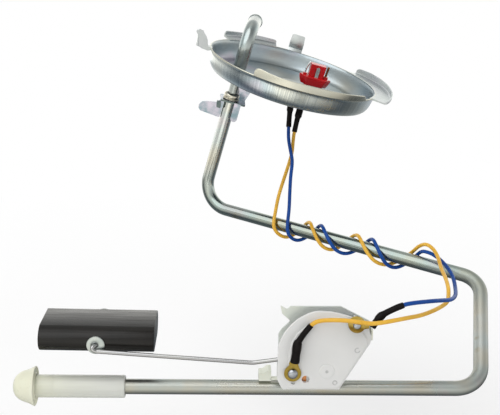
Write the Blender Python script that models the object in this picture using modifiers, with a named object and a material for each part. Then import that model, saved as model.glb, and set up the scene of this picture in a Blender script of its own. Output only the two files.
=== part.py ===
"""Fuel level sender: a tank flange with its outlet, a bent pickup tube, a sender housing and a float arm."""
import math

import bmesh
import bpy
from mathutils import Euler, Matrix, Vector

MM = 0.001
CLEARANCE = 0.3

# Flange: a pressed steel cup, tilted on the tank. Its rim plane's centre is the origin.
FLANGE_TILT_SIDE = 15.0
FLANGE_TILT_FRONT = 8.0
SHEET = 1.2
CUP_RADIUS = 64.0
RIM_OVERHANG = 1.2
RIM_RADIUS = CUP_RADIUS + RIM_OVERHANG
CUP_DEPTH = 15.0
FLOOR_STEP_RADIUS = CUP_RADIUS - 12.0
FLOOR_RISE = 1.2

# Tubes
TUBE_RADIUS = 4.765
TUBE_WALL = 0.9
TUBE_X = -39.5
TUBE_Y = -4.0
TUBE_TOP_Z = -CUP_DEPTH - 21.0
CORNER_Z = -121.6
CORNER_RIGHT = Vector((122.7, -107.4, -132.0))
BEND_RADIUS = 19.0
RUN_Y = -178.0
RUN_Z = -180.0
RUN_RIGHT_X = 108.2
RUN_LEFT_X = -160.0
RUN_FALL = 0.0078
OUTLET_RADIUS = 3.7
OUTLET_WIDE = 1.38

# Sender: everything on the arm's axis, which runs along Y.
PIVOT_X = 9.5
PIVOT_Z = -162.4
COVER_FRONT_Y = -195.0
COVER_WALL = 1.6
COVER_STEP = 0.8
REAR_COVER_FRONT_Y = COVER_FRONT_Y + 8.3
REAR_COVER_WALL = 1.8
BRACKET_FRONT_Y = COVER_FRONT_Y + 10.4
BRACKET_SHEET = 1.5
ARM_Y = COVER_FRONT_Y + 5.0
ARM_WIRE_RADIUS = 1.3
ARM_TRAVEL = 60.0
PIN_RADIUS = 2.0
HUB_RADIUS = 6.0

# Float
FLOAT_LEFT_X = -164.2
FLOAT_RIGHT_X = -94.6
FLOAT_AXIS_X = -129.4
FLOAT_AXIS_Z = -148.6
FLOAT_MIDDLE_Z = -147.3
FLOAT_LEAN = 1.1
FLOAT_HEIGHT = 16.2
FLOAT_FLAT_DEPTH = 30.0
FLOAT_BULGE = 7.6
FLOAT_FRONT_Y = ARM_Y + 3.6
WASHER_RADIUS = 5.5
BACK_WASHER_RADIUS = 7.0
WASHER_THICKNESS = 0.9

# Pickup
SLEEVE_RADIUS = 7.0
SLEEVE_RIGHT_X = -112.9
SLEEVE_LEFT_X = -174.9
HEAD_RIM_X = -168.2

# Leads
LEAD_RADIUS = 1.4
WRAP_RADIUS = 7.5
WRAP_SAG = 1.0
RING_OUTER = 5.15
RING_HOLE = 2.65
RING_SHEET = 0.8
RING_LEAN = 30.0


def clear_scene():
    for item in list(bpy.data.objects):
        bpy.data.objects.remove(item, do_unlink=True)


def make_collection(name):
    collection = bpy.data.collections.new(name)
    bpy.context.scene.collection.children.link(collection)
    return collection


def make_material(name, colour, metallic, roughness):
    material = bpy.data.materials.new(name)
    material.use_nodes = True
    shader = material.node_tree.nodes["Principled BSDF"]
    shader.inputs["Base Color"].default_value = (*colour, 1.0)
    shader.inputs["Metallic"].default_value = metallic
    shader.inputs["Roughness"].default_value = roughness
    return material


clear_scene()
SENDER = make_collection("fuel_level_sender")
CUTTERS = make_collection("cutters")
STEEL = (0.55, 0.56, 0.55)
NYLON = (0.78, 0.78, 0.74)
BRASS = (0.42, 0.31, 0.12)
BLACK = (0.02, 0.02, 0.02)


def scaled(point):
    return Vector(point) * MM


FLANGE_TURN = Euler((math.radians(FLANGE_TILT_FRONT), math.radians(FLANGE_TILT_SIDE), 0.0), "ZYX")


def flange_point(x, y, z):
    """A point given in the flange's own axes, in millimetres, as a point of the whole part."""
    return FLANGE_TURN.to_matrix() @ Vector((x, y, z))


def flange_frame():
    frame = bpy.data.objects.new("flange_frame", None)
    frame.rotation_mode = "ZYX"
    frame.rotation_euler = FLANGE_TURN
    SENDER.objects.link(frame)
    return frame


FLANGE_FRAME = flange_frame()


def make_object(name, mesh, material=None, on_flange=False, cutter=False):
    item = bpy.data.objects.new(name, mesh)
    (CUTTERS if cutter else SENDER).objects.link(item)
    if material is not None:
        item.data.materials.clear()
        item.data.materials.append(material)
    if on_flange:
        item.parent = FLANGE_FRAME
    if cutter:
        item.hide_render = True
        item.display_type = "WIRE"
    return item


def shade(item, angle=35.0):
    for polygon in item.data.polygons:
        polygon.use_smooth = True
    item.data.set_sharp_from_angle(angle=math.radians(angle))


def mesh_of(item, weld=0.000001):
    """The evaluated mesh of a temporary object, welded, with the object's own transform taken in."""
    bpy.context.view_layer.update()
    graph = bpy.context.evaluated_depsgraph_get()
    mesh = bpy.data.meshes.new_from_object(item.evaluated_get(graph))
    mesh.transform(item.matrix_world)
    work = bmesh.new()
    work.from_mesh(mesh)
    bmesh.ops.remove_doubles(work, verts=work.verts, dist=weld)
    work.to_mesh(mesh)
    work.free()
    data = item.data
    bpy.data.objects.remove(item, do_unlink=True)
    if isinstance(data, bpy.types.Curve):
        bpy.data.curves.remove(data)
    return mesh


def cut(item, cutter, operation="DIFFERENCE"):
    modifier = item.modifiers.new(cutter.name, "BOOLEAN")
    modifier.operation = operation
    modifier.solver = "EXACT"
    modifier.object = cutter


def join_cut(item):
    """Takes the modifiers of an object into its mesh and removes the cutters that they used."""
    used = [modifier.object for modifier in item.modifiers if modifier.type == "BOOLEAN"]
    bpy.context.view_layer.update()
    graph = bpy.context.evaluated_depsgraph_get()
    mesh = bpy.data.meshes.new_from_object(item.evaluated_get(graph))
    item.modifiers.clear()
    item.data = mesh
    for cutter in used:
        bpy.data.objects.remove(cutter, do_unlink=True)


def turned_mesh(profile, steps, closed=False):
    """A shape turned about Z from (radius, height) points in millimetres."""
    mesh = bpy.data.meshes.new("profile")
    points = [(radius * MM, 0.0, height * MM) for radius, height in profile]
    edges = [(i, i + 1) for i in range(len(points) - 1)]
    if closed:
        edges.append((len(points) - 1, 0))
    mesh.from_pydata(points, edges, [])
    item = bpy.data.objects.new("profile", mesh)
    CUTTERS.objects.link(item)
    screw = item.modifiers.new("turn", "SCREW")
    screw.steps = steps
    screw.render_steps = steps
    screw.use_merge_vertices = True
    screw.merge_threshold = 0.000001
    screw.use_normal_calculate = not closed
    result = mesh_of(item)
    work = bmesh.new()
    work.from_mesh(result)
    bmesh.ops.recalc_face_normals(work, faces=work.faces)
    work.to_mesh(result)
    work.free()
    return result


def flat_mesh(loops, thickness, matrix):
    """A flat outline with holes, in millimetres, given its thickness and put in place by a matrix."""
    curve = bpy.data.curves.new("outline", "CURVE")
    curve.dimensions = "2D"
    curve.fill_mode = "BOTH"
    curve.extrude = thickness * MM / 2
    for loop in loops:
        spline = curve.splines.new("POLY")
        spline.points.add(len(loop) - 1)
        for point, (x, y) in zip(spline.points, loop):
            point.co = (x * MM, y * MM, 0.0, 1.0)
        spline.use_cyclic_u = True
    item = bpy.data.objects.new("outline", curve)
    CUTTERS.objects.link(item)
    mesh = mesh_of(item)
    mesh.transform(matrix)
    work = bmesh.new()
    work.from_mesh(mesh)
    bmesh.ops.recalc_face_normals(work, faces=work.faces)
    work.to_mesh(mesh)
    work.free()
    return mesh


def upright(front_y, thickness):
    """Stands an outline drawn in X and Z on edge, with its front face at front_y."""
    turn = Matrix.Rotation(math.radians(90.0), 4, "X")
    return Matrix.Translation(scaled((0.0, front_y + thickness / 2, 0.0))) @ turn


def rod_mesh(points, radius, resolution=4, radii=None, caps=True):
    """A round rod or tube along points in millimetres."""
    curve = bpy.data.curves.new("rod", "CURVE")
    curve.dimensions = "3D"
    curve.bevel_depth = radius * MM
    curve.bevel_resolution = resolution
    curve.use_fill_caps = caps
    spline = curve.splines.new("POLY")
    spline.points.add(len(points) - 1)
    for index, point in enumerate(points):
        spline.points[index].co = (*scaled(point), 1.0)
        spline.points[index].radius = 1.0 if radii is None else radii[index]
    item = bpy.data.objects.new("rod", curve)
    CUTTERS.objects.link(item)
    return mesh_of(item)


def hollow_mesh(points, radius, wall, resolution=8, radii=None):
    """An open tube along points, with its wall inside the stated radius."""
    mesh = rod_mesh(points, radius, resolution, radii, caps=False)
    item = bpy.data.objects.new("tube", mesh)
    CUTTERS.objects.link(item)
    solid = item.modifiers.new("wall", "SOLIDIFY")
    solid.thickness = wall * MM
    solid.offset = -1.0
    result = mesh_of(item)
    work = bmesh.new()
    work.from_mesh(result)
    bmesh.ops.recalc_face_normals(work, faces=work.faces)
    work.to_mesh(result)
    work.free()
    return result


def cylinder_mesh(radius, centre, axis, low, high, segments=32):
    """A solid cylinder about an axis through the centre, from low to high along that axis."""
    work = bmesh.new()
    bmesh.ops.create_cone(
        work,
        cap_ends=True,
        segments=segments,
        radius1=radius * MM,
        radius2=radius * MM,
        depth=(high - low) * MM,
    )
    along = Vector(axis).normalized()
    turn = Vector((0.0, 0.0, 1.0)).rotation_difference(along).to_matrix().to_4x4()
    middle = Vector(centre) + along * (low + high) / 2
    bmesh.ops.transform(work, matrix=Matrix.Translation(scaled(middle)) @ turn, verts=work.verts)
    mesh = bpy.data.meshes.new("cylinder")
    work.to_mesh(mesh)
    work.free()
    return mesh


def block_mesh(low, high):
    """A box between two corners in millimetres."""
    work = bmesh.new()
    bmesh.ops.create_cube(work, size=1.0)
    size = Vector(high) - Vector(low)
    middle = (Vector(high) + Vector(low)) / 2
    matrix = Matrix.Translation(scaled(middle)) @ Matrix.Diagonal((*(size * MM), 1.0))
    bmesh.ops.transform(work, matrix=matrix, verts=work.verts)
    mesh = bpy.data.meshes.new("block")
    work.to_mesh(mesh)
    work.free()
    return mesh


def filleted(points, radius, steps=8):
    """A path through the points with each corner rounded to the radius."""
    path = [Vector(points[0])]
    for before, corner, after in zip(points, points[1:], points[2:]):
        corner = Vector(corner)
        back = (Vector(before) - corner).normalized()
        ahead = (Vector(after) - corner).normalized()
        half = back.angle(ahead) / 2
        reach = radius / math.tan(half)
        middle = (back + ahead).normalized()
        centre = corner + middle * (radius / math.sin(half))
        start = corner + back * reach - centre
        end = corner + ahead * reach - centre
        sweep = start.angle(end)
        for step in range(steps + 1):
            share = step / steps
            first = math.sin((1.0 - share) * sweep) / math.sin(sweep)
            second = math.sin(share * sweep) / math.sin(sweep)
            path.append(centre + start * first + end * second)
    path.append(Vector(points[-1]))
    return path


def smooth_route(points, step):
    """A smooth path through hand-placed points, with about one point in each step of its length."""
    points = [Vector(point) for point in points]
    ends = [points[0] * 2 - points[1]] + points + [points[-1] * 2 - points[-2]]
    route = []
    for a, b, c, d in zip(ends, ends[1:], ends[2:], ends[3:]):
        count = max(1, round((c - b).length / step))
        for index in range(count):
            t = index / count
            value = 2 * b + (c - a) * t + (2 * a - 5 * b + 4 * c - d) * t * t
            value += (3 * b - a - 3 * c + d) * t * t * t
            route.append(value / 2)
    route.append(points[-1])
    return route


def arc(radius, start, end, steps, centre=(0.0, 0.0)):
    points = []
    for step in range(steps + 1):
        angle = math.radians(start + (end - start) * step / steps)
        points.append((centre[0] + radius * math.cos(angle), centre[1] + radius * math.sin(angle)))
    return points


def ring_strip(sections):
    """A closed loft through sections of equal point count, with both ends filled."""
    work = bmesh.new()
    rows = [[work.verts.new(scaled(point)) for point in section] for section in sections]
    count = len(rows[0])
    for row, following in zip(rows, rows[1:]):
        for index in range(count):
            after = (index + 1) % count
            work.faces.new((row[index], row[after], following[after], following[index]))
    work.faces.new(list(reversed(rows[0])))
    work.faces.new(rows[-1])
    bmesh.ops.recalc_face_normals(work, faces=work.faces)
    mesh = bpy.data.meshes.new("strip")
    work.to_mesh(mesh)
    work.free()
    return mesh


def between(values, share):
    """The value at a share of the way along a list of evenly spaced values."""
    place = share * (len(values) - 1)
    first = min(int(place), len(values) - 2)
    return values[first] + (values[first + 1] - values[first]) * (place - first)


def cam_tab(start, end, bases, tops, outer, steps):
    """A stepped lip on the rim: out to the outer radius, then up, with heights listed along its length."""
    root = CUP_RADIUS - SHEET / 2
    sections = []
    for step in range(steps + 1):
        share = step / steps
        angle = math.radians(start + (end - start) * share)
        base = between(bases, share)
        top = between(tops, share)
        outline = (
            (root, -1.0),
            (CUP_RADIUS + 0.6, -1.0),
            (outer - 1.6, base - SHEET),
            (outer, base - 0.7),
            (outer + 0.35, base + 0.6),
            (outer + 0.35, top),
            (outer + 0.35 - SHEET, top),
            (outer + 0.35 - SHEET, base + 0.4),
            (outer - 1.9, base),
            (CUP_RADIUS + 0.9, 0.05),
            (root, 0.05),
        )
        sections.append([(r * math.cos(angle), r * math.sin(angle), z) for r, z in outline])
    return ring_strip(sections)


def front_lip(start, end, lip_start, lip_end, steps):
    """The upright lip along the front of the rim, rounded up at its left end and falling to the right."""
    root = CUP_RADIUS - SHEET / 2
    face = RIM_RADIUS + 1.4
    sections = []
    for step in range(steps + 1):
        share = step / steps
        angle = math.radians(start + (end - start) * share)
        top = lip_start + (lip_end - lip_start) * share
        if step == 0:
            top -= 1.2
        outline = (
            (root, -1.1),
            (face - 0.9, -1.1),
            (face - 0.2, -0.5),
            (face, 0.4),
            (face, top - 0.4),
            (face - 0.3, top),
            (face - SHEET + 0.2, top),
            (face - SHEET, top - 0.3),
            (face - SHEET, 1.3),
            (face - SHEET - 0.4, 0.5),
            (root, 0.05),
        )
        sections.append([(r * math.cos(angle), r * math.sin(angle), z) for r, z in outline])
    return ring_strip(sections)


RIGHT_BASES = (0.3, 0.2, 0.2, 0.1, -0.2, -0.6, -1.0)
RIGHT_TOPS = (1.5, 2.7, 3.7, 4.3, 4.6, 4.5, 3.2)


def make_flange():
    """The cup, its rim and the stepped lips that lock under the tank's ring."""
    inner = CUP_RADIUS - SHEET
    floor = -CUP_DEPTH + SHEET
    profile = [
        (0.0, floor + FLOOR_RISE),
        (FLOOR_STEP_RADIUS - 2.0, floor + FLOOR_RISE),
        (FLOOR_STEP_RADIUS + 1.2, floor),
        (inner - 4.6, floor),
        (inner - 2.9, floor + 0.7),
        (inner - 1.7, floor + 2.2),
        (inner - 0.8, floor + 4.4),
        (inner - 0.1, -4.6),
        (inner + 0.2, -2.0),
        (inner + 0.7, -0.6),
        (inner + 1.5, 0.15),
        (RIM_RADIUS - 1.4, 0.25),
        (RIM_RADIUS - 0.5, 0.25),
        (RIM_RADIUS, -0.2),
        (RIM_RADIUS, -1.4),
        (CUP_RADIUS, -1.4),
        (CUP_RADIUS, -4.6),
        (CUP_RADIUS - 0.5, floor + 4.0),
        (CUP_RADIUS - 1.5, floor + 1.2),
        (CUP_RADIUS - 3.0, floor - 0.6),
        (CUP_RADIUS - 5.6, -CUP_DEPTH),
        (FLOOR_STEP_RADIUS + 1.0, -CUP_DEPTH),
        (FLOOR_STEP_RADIUS - 0.6, -CUP_DEPTH + FLOOR_RISE),
        (0.0, -CUP_DEPTH + FLOOR_RISE),
    ]
    material = make_material("zinc_plated_steel", STEEL, 1.0, 0.34)
    flange = make_object("flange", turned_mesh(profile, 64), material, on_flange=True)
    tabs = (
        front_lip(-120.0, -40.0, 6.8, 3.6, 15),
        cam_tab(-27.5, 42.0, RIGHT_BASES, RIGHT_TOPS, CUP_RADIUS + 12.6, 14),
        cam_tab(99.0, 141.0, (1.4, 1.4), (4.2, 5.4), CUP_RADIUS + 6.0, 8),
        cam_tab(180.5, 187.0, (0.4, 0.2), (7.6, 8.4), CUP_RADIUS + 12.0, 2),
    )
    for index, mesh in enumerate(tabs):
        cut(flange, make_object("lip_%d" % index, mesh, on_flange=True, cutter=True), "UNION")
    for index, mesh in enumerate((rim_tongue(), lip_end_plate())):
        cut(flange, make_object("tongue_%d" % index, mesh, on_flange=True, cutter=True), "UNION")
    holes = (
        (TUBE_X, TUBE_Y, OUTLET_RADIUS + CLEARANCE),
        (LEAD_HOLES[0][0], LEAD_HOLES[0][1], 1.3),
        (LEAD_HOLES[1][0], LEAD_HOLES[1][1], 1.3),
    )
    for index, (x, y, radius) in enumerate(holes):
        mesh = cylinder_mesh(radius, (x, y, 0.0), (0.0, 0.0, 1.0), -20.0, -9.0, 24)
        cut(flange, make_object("hole_%d" % index, mesh, on_flange=True, cutter=True))
    join_cut(flange)
    shade(flange, 28.0)
    return flange


LEAD_HOLES = ((7.0, -4.0), (14.0, -4.0))


def rim_tongue():
    """The tall flat tongue that stands on the rim at the back, with a crease near its foot."""
    angle = math.radians(85.4)
    out = Vector((math.cos(angle), math.sin(angle), 0.0))
    side = Vector((-out.y, out.x, 0.0))
    sections = []
    for beyond, height in ((-0.5, -1.0), (0.6, 0.6), (1.4, 2.2), (1.0, 3.4), (1.6, 13.4)):
        reach = CUP_RADIUS + beyond
        section = []
        for across, deep in ((-5.8, 0.0), (5.8, 0.0), (5.8, SHEET), (-5.8, SHEET)):
            point = out * (reach + deep) + side * across
            section.append((point.x, point.y, height))
        sections.append(section)
    return ring_strip(sections)


def lip_end_plate():
    """The stop plate that closes the left lip, with its small hooked top."""
    angle = math.radians(187.0)
    out = Vector((math.cos(angle), math.sin(angle), 0.0))
    side = Vector((-out.y, out.x, 0.0))
    outline = ((0.1, -1.3), (3.0, -2.2), (7.5, -1.6), (10.5, -0.4), (11.6, 3.0), (12.8, 7.5), (14.6, 9.4))
    outline += ((14.4, 11.0), (12.6, 11.9), (9.4, 11.4), (8.4, 9.8), (6.4, 7.8), (4.9, 5.4), (3.4, 0.9))
    outline += ((0.6, 0.2),)
    sections = []
    for across in (-0.2, 1.2):
        section = []
        for beyond, height in outline:
            point = out * (CUP_RADIUS + beyond) + side * across
            section.append((point.x, point.y, height))
        sections.append(section)
    return ring_strip(sections)


def make_outlet_tube():
    """The thin outlet tube: up through the cup's floor, then back and away, with a bead at its end."""
    foot = (TUBE_X, TUBE_Y, -CUP_DEPTH - 18.9)
    corners = [foot, (TUBE_X, TUBE_Y, 20.0), (TUBE_X + 5.0, TUBE_Y + 39.0, 20.7)]
    path = filleted(corners, 16.0, 9)
    lift = FLOOR_RISE + SHEET - CUP_DEPTH
    swage = [Vector((TUBE_X, TUBE_Y, lift + rise)) for rise in (0.3, 1.2, 2.2, 3.2)]
    path = path[:1] + swage + path[1:]
    lengthened = []
    for before, after in zip(path, path[1:]):
        lengthened.append(before)
        if (after - before).length > 12.0:
            parts = 3
            for part in range(1, parts):
                lengthened.append(before.lerp(after, part / parts))
    lengthened.append(path[-1])
    end = lengthened[-1]
    run = (end - lengthened[-2]).normalized()
    lengthened[-1] = end - run * 6.0
    for back in (5.2, 4.4, 3.4, 2.6, 0.0):
        lengthened.append(end - run * back)
    radii = []
    for index, point in enumerate(lengthened):
        if index >= len(lengthened) - 5:
            bead = (OUTLET_WIDE + 0.02, 1.56, 1.56, OUTLET_WIDE + 0.02, OUTLET_WIDE)
            radii.append(bead[index - len(lengthened) + 5])
        else:
            rise = (point.z - lift - 0.3) / 2.9
            radii.append(0.97 + (OUTLET_WIDE - 0.97) * min(1.0, max(0.0, rise)))
    material = make_material("tube_steel", STEEL, 1.0, 0.24)
    mesh = hollow_mesh(lengthened, OUTLET_RADIUS, 0.7, 5, radii)
    tube = make_object("outlet_tube", mesh, material, on_flange=True)
    shade(tube)
    return tube


def make_tube_collar():
    """The stepped ferrule that joins the thin outlet to the wide pickup tube."""
    bore = OUTLET_RADIUS + CLEARANCE
    under = -CUP_DEPTH
    profile = [
        (bore, under - 14.3),
        (4.9, under - 14.3),
        (5.5, under - 14.8),
        (5.9, under - 15.6),
        (5.9, under - 18.0),
        (6.3, under - 18.4),
        (6.3, under - 19.1),
        (bore, under - 19.1),
    ]
    material = make_material("ferrule_steel", STEEL, 1.0, 0.26)
    collar = make_object("tube_collar", turned_mesh(profile, 24, True), material, on_flange=True)
    collar.location = scaled((TUBE_X, TUBE_Y, 0.0))
    shade(collar)
    return collar


def run_height(x):
    """The height of the lower run's axis, which falls slightly to the right."""
    return RUN_Z - RUN_FALL * x


def tube_corners():
    left = flange_point(TUBE_X, TUBE_Y, CORNER_Z)
    return [
        flange_point(TUBE_X, TUBE_Y, TUBE_TOP_Z - CLEARANCE),
        left,
        CORNER_RIGHT,
        Vector((RUN_RIGHT_X, RUN_Y, run_height(RUN_RIGHT_X))),
        Vector((RUN_LEFT_X, RUN_Y, run_height(RUN_LEFT_X))),
    ]


def make_pickup_tube():
    """The main tube: down from the ferrule, across, forward and down, then along to the pickup."""
    path = filleted(tube_corners(), BEND_RADIUS, 6)
    material = make_material("pickup_tube_steel", STEEL, 1.0, 0.24)
    tube = make_object("pickup_tube", hollow_mesh(path, TUBE_RADIUS, TUBE_WALL, 7), material)
    shade(tube)
    return tube


def make_tube_bracket():
    """The zinc bracket under the cup: a foot on the cup, a level plate round the tube and two tongues."""
    plate_top = -CUP_DEPTH - 19.5
    drop = -CUP_DEPTH + 15.0
    plate = 1.3
    level = Matrix.Translation(scaled((0.0, 0.0, plate_top - plate / 2)))
    outline = [(-47.2, -11.5), (-29.6, -11.5), (-28.4, -10.3), (-28.4, 3.6)]
    outline += [(-31.0, 5.4), (-46.4, 5.4), (-47.6, 4.2)]
    hole = arc(OUTLET_RADIUS * 1.02 + CLEARANCE, 0.0, 360.0, 20, (TUBE_X, TUBE_Y))[:-1]
    material = make_material("bracket_zinc", (0.52, 0.54, 0.58), 1.0, 0.3)
    bracket = make_object("tube_bracket", flat_mesh([outline, hole], plate, level), material, on_flange=True)
    pieces = []
    side = Matrix.Rotation(math.radians(90.0), 4, "X")
    leg = [(-37.6, -15.3), (-25.4, -15.3), (-25.4, -26.0), (-28.4, -35.7), (-33.6, -35.7), (-37.6, -23.0)]
    shift = Matrix.Translation(scaled((0.0, 4.4, drop)))
    pieces.append(flat_mesh([leg], plate, shift @ side))
    tongue = [(-36.6, -34.9), (-31.6, -34.9), (-31.6, -46.0)] + arc(2.5, 0.0, -180.0, 8, (-34.1, -46.8))
    tongue += [(-36.6, -46.0)]
    shift = Matrix.Translation(scaled((0.0, -10.9, drop)))
    pieces.append(flat_mesh([tongue], plate, shift @ side))
    ear = [(-44.2, -34.8), (-46.6, -35.0), (-49.0, -37.3)] + arc(4.6, 60.0, 235.0, 10, (-58.4, -43.2))
    ear += [(-47.6, -48.6), (-45.4, -49.6), (-44.2, -47.0)]
    shift = Matrix.Translation(scaled((0.0, -5.9, drop)))
    pieces.append(flat_mesh([ear], plate, shift @ side))
    for index, mesh in enumerate(pieces):
        cut(bracket, make_object("bracket_piece_%d" % index, mesh, on_flange=True, cutter=True), "UNION")
    join_cut(bracket)
    shade(bracket, 30.0)
    return bracket


def make_connector():
    """The red terminal block that stands on the cup's floor."""
    floor = -CUP_DEPTH + SHEET + FLOOR_RISE + CLEARANCE
    left, right = 4.6, 29.2
    work = [
        block_mesh((left + 5.4, -8.8, floor), (right - 5.4, 0.8, -6.4)),
        block_mesh((11.2, -7.2, -7.0), (22.6, 0.2, 8.4)),
    ]
    sections = []
    for height, grow in ((-7.0, 0.0), (-3.6, 1.0), (-1.4, 1.6), (-0.9, 1.2)):
        low_x, high_x = left + 1.6 - grow, right - 1.6 + grow
        low_y, high_y = -9.4 - grow * 0.6, 1.4 + grow * 0.6
        middle_y = (low_y + high_y) / 2
        section = [(low_x, middle_y - 1.0), (low_x + 4.4, low_y), (high_x - 4.4, low_y)]
        section += [(high_x, middle_y - 1.0), (high_x, middle_y + 1.0), (high_x - 4.4, high_y)]
        section += [(low_x + 4.4, high_y), (low_x, middle_y + 1.0)]
        sections.append([(x, y, height) for x, y in section])
    material = make_material("red_moulding", (0.55, 0.005, 0.01), 0.0, 0.3)
    body = make_object("connector_body", ring_strip(sections), material, on_flange=True)
    for index, mesh in enumerate(work):
        cut(body, make_object("connector_piece_%d" % index, mesh, on_flange=True, cutter=True), "UNION")
    slots = (
        block_mesh((7.4, -5.4, -4.4), (9.6, -2.6, 2.0)),
        block_mesh((15.2, -8.2, -4.4), (19.0, -7.0, 7.2)),
        block_mesh((23.2, -5.4, -4.4), (25.6, -2.6, 2.0)),
    )
    for index, mesh in enumerate(slots):
        cut(body, make_object("connector_slot_%d" % index, mesh, on_flange=True, cutter=True))
    join_cut(body)
    bevel = body.modifiers.new("edge", "BEVEL")
    bevel.width = 0.25 * MM
    bevel.segments = 1
    bevel.limit_method = "ANGLE"
    bevel.angle_limit = math.radians(50.0)
    shade(body)
    return body


def make_terminals():
    """The three blades of the terminal block: two of zinc-plated brass and one of bare copper."""
    zinc = make_material("terminal_zinc", (0.6, 0.62, 0.64), 1.0, 0.25)
    copper = make_material("terminal_copper", (0.36, 0.17, 0.07), 1.0, 0.35)
    side = Matrix.Rotation(math.radians(90.0), 4, "X")
    middle = [(15.8, -4.1), (18.4, -4.1)] + arc(1.3, 0.0, 180.0, 8, (17.1, 5.6))
    shift = Matrix.Translation(scaled((0.0, -7.6, 0.0)))
    blade = make_object("terminal_middle", flat_mesh([middle], 0.6, shift @ side), zinc, on_flange=True)
    shade(blade)
    curved = [(8.6, -4.0, -4.1), (8.5, -4.0, 1.0), (8.9, -4.0, 5.0), (9.8, -4.0, 8.0), (10.6, -4.0, 9.0)]
    left = make_object("terminal_left", rod_mesh(curved, 0.6, 2), zinc, on_flange=True)
    shade(left)
    pin = [(24.4, -4.0, -4.1), (24.4, -4.0, 1.0), (24.6, -4.0, 5.0), (24.8, -4.0, 8.6)]
    right = make_object("terminal_right", rod_mesh(pin, 0.85, 3), copper, on_flange=True)
    shade(right)


def run_frame():
    """Start, direction, upward and forward directions of the tube's upper run."""
    start = flange_point(TUBE_X, TUBE_Y, CORNER_Z)
    along = (CORNER_RIGHT - start).normalized()
    upward = (Vector((0.0, 0.0, 1.0)) - along * along.z).normalized()
    forward = along.cross(upward)
    return start, along, upward, forward


def wrap_points(quarters, per_quarter=3):
    """A lead wound round the upper run: it crosses in front, below, behind and above at the quarters."""
    start, along, upward, forward = run_frame()
    points = []
    for index, (here, following) in enumerate(zip(quarters, quarters[1:])):
        for part in range(per_quarter):
            share = part / per_quarter
            angle = math.radians(-90.0 * (index + share))
            distance = here + (following - here) * share
            around = forward * math.cos(angle) + upward * math.sin(angle)
            sag = WRAP_SAG * max(0.0, -math.sin(angle))
            points.append(start + along * distance + around * (WRAP_RADIUS + sag))
    angle = math.radians(-90.0 * (len(quarters) - 1))
    around = forward * math.cos(angle) + upward * math.sin(angle)
    points.append(start + along * quarters[-1] + around * WRAP_RADIUS)
    return points


# Distances along the upper run at which each lead crosses in front of, below, behind and above it.
BLUE_QUARTERS = (81.0, 87.4, 96.2, 105.3, 116.0, 126.6, 137.0, 146.4, 156.6, 165.8, 175.7)
YELLOW_QUARTERS = (69.3, 77.6, 86.1, 95.4, 105.3, 115.2, 124.1, 134.6, 145.6, 158.1, 170.4)
BLUE_DROP = (
    (-3.6, -8.5, -43.8),
    (-3.6, -11.4, -51.9),
    (-2.1, -14.9, -60.7),
    (-0.9, -17.0, -67.9),
    (-2.1, -20.4, -79.3),
    (-2.8, -24.4, -90.4),
    (-3.4, -29.0, -101.4),
)
YELLOW_DROP = (
    (0.7, -7.9, -47.8),
    (-0.1, -9.3, -55.1),
    (-0.8, -10.7, -62.6),
    (-3.4, -12.6, -71.6),
    (-6.8, -15.8, -81.5),
    (-10.6, -20.0, -92.8),
    (-13.0, -25.6, -102.4),
)
BLUE_FREE = (
    (86.4, -80.6, -120.1),
    (88.8, -86.8, -118.3),
    (92.4, -92.4, -118.6),
    (96.4, -99.5, -120.6),
    (99.2, -112.0, -123.1),
    (99.9, -124.0, -126.0),
    (98.4, -137.0, -128.5),
    (94.7, -153.0, -128.3),
    (88.6, -167.0, -126.3),
    (80.7, -177.5, -123.3),
    (73.3, -185.5, -121.0),
    (62.0, -193.5, -119.3),
    (54.0, -197.0, -119.3),
)
YELLOW_FREE = (
    (82.2, -75.6, -120.9),
    (84.8, -79.8, -116.4),
    (88.6, -85.4, -113.2),
    (92.0, -92.5, -114.3),
    (93.6, -102.0, -117.2),
    (92.9, -118.0, -120.8),
    (92.2, -136.0, -122.8),
    (91.2, -148.0, -125.2),
    (90.0, -154.4, -127.9),
    (87.9, -161.5, -129.4),
    (83.9, -167.0, -130.2),
    (76.0, -177.0, -130.0),
    (66.2, -187.0, -129.5),
    (56.8, -195.0, -128.3),
    (46.2, -203.0, -127.3),
    (38.4, -204.6, -128.1),
    (32.6, -205.0, -128.3),
    (25.3, -204.9, -127.3),
    (16.6, -202.4, -127.2),
    (8.0, -199.6, -128.2),
    (2.8, -198.0, -129.4),
    (-0.4, -198.0, -131.2),
)
BLUE_TOP_SLEEVE = ((-0.6, -2.2, -22.6), (-2.1, -4.0, -27.7), (-3.0, -6.2, -35.9), (-3.5, -8.3, -43.2))
YELLOW_TOP_SLEEVE = ((6.5, -1.8, -23.6), (5.2, -3.8, -30.0), (2.9, -5.8, -38.2), (0.9, -7.7, -47.1))
BLUE_END_SLEEVE = ((53.4, -197.2, -119.6), (48.0, -197.9, -121.6), (41.0, -198.6, -125.2))
BLUE_END_SLEEVE += ((37.2, -199.6, -129.0),)
BLUE_END_TIP = (34.9, -200.0, -132.4)
YELLOW_END_SLEEVE = ((-0.9, -198.0, -131.8), (-5.1, -198.0, -137.3), (-8.3, -197.8, -142.6))


def make_leads():
    """The blue and the yellow lead, each along its whole route from the cup to the sender."""
    blue = make_material("blue_insulation", (0.02, 0.08, 0.36), 0.0, 0.38)
    yellow = make_material("yellow_insulation", (0.72, 0.44, 0.06), 0.0, 0.38)
    leads = (
        ("blue_lead", BLUE_DROP, BLUE_QUARTERS, BLUE_FREE, blue),
        ("yellow_lead", YELLOW_DROP, YELLOW_QUARTERS, YELLOW_FREE, yellow),
    )
    for name, drop, quarters, free, material in leads:
        before = smooth_route(list(drop) + [wrap_points(quarters)[0]], 6.5)[:-1]
        after = smooth_route([wrap_points(quarters)[-1]] + list(free), 6.0)[1:]
        route = before + wrap_points(quarters) + after
        lead = make_object(name, rod_mesh(route, LEAD_RADIUS, 2), material)
        shade(lead)


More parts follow.
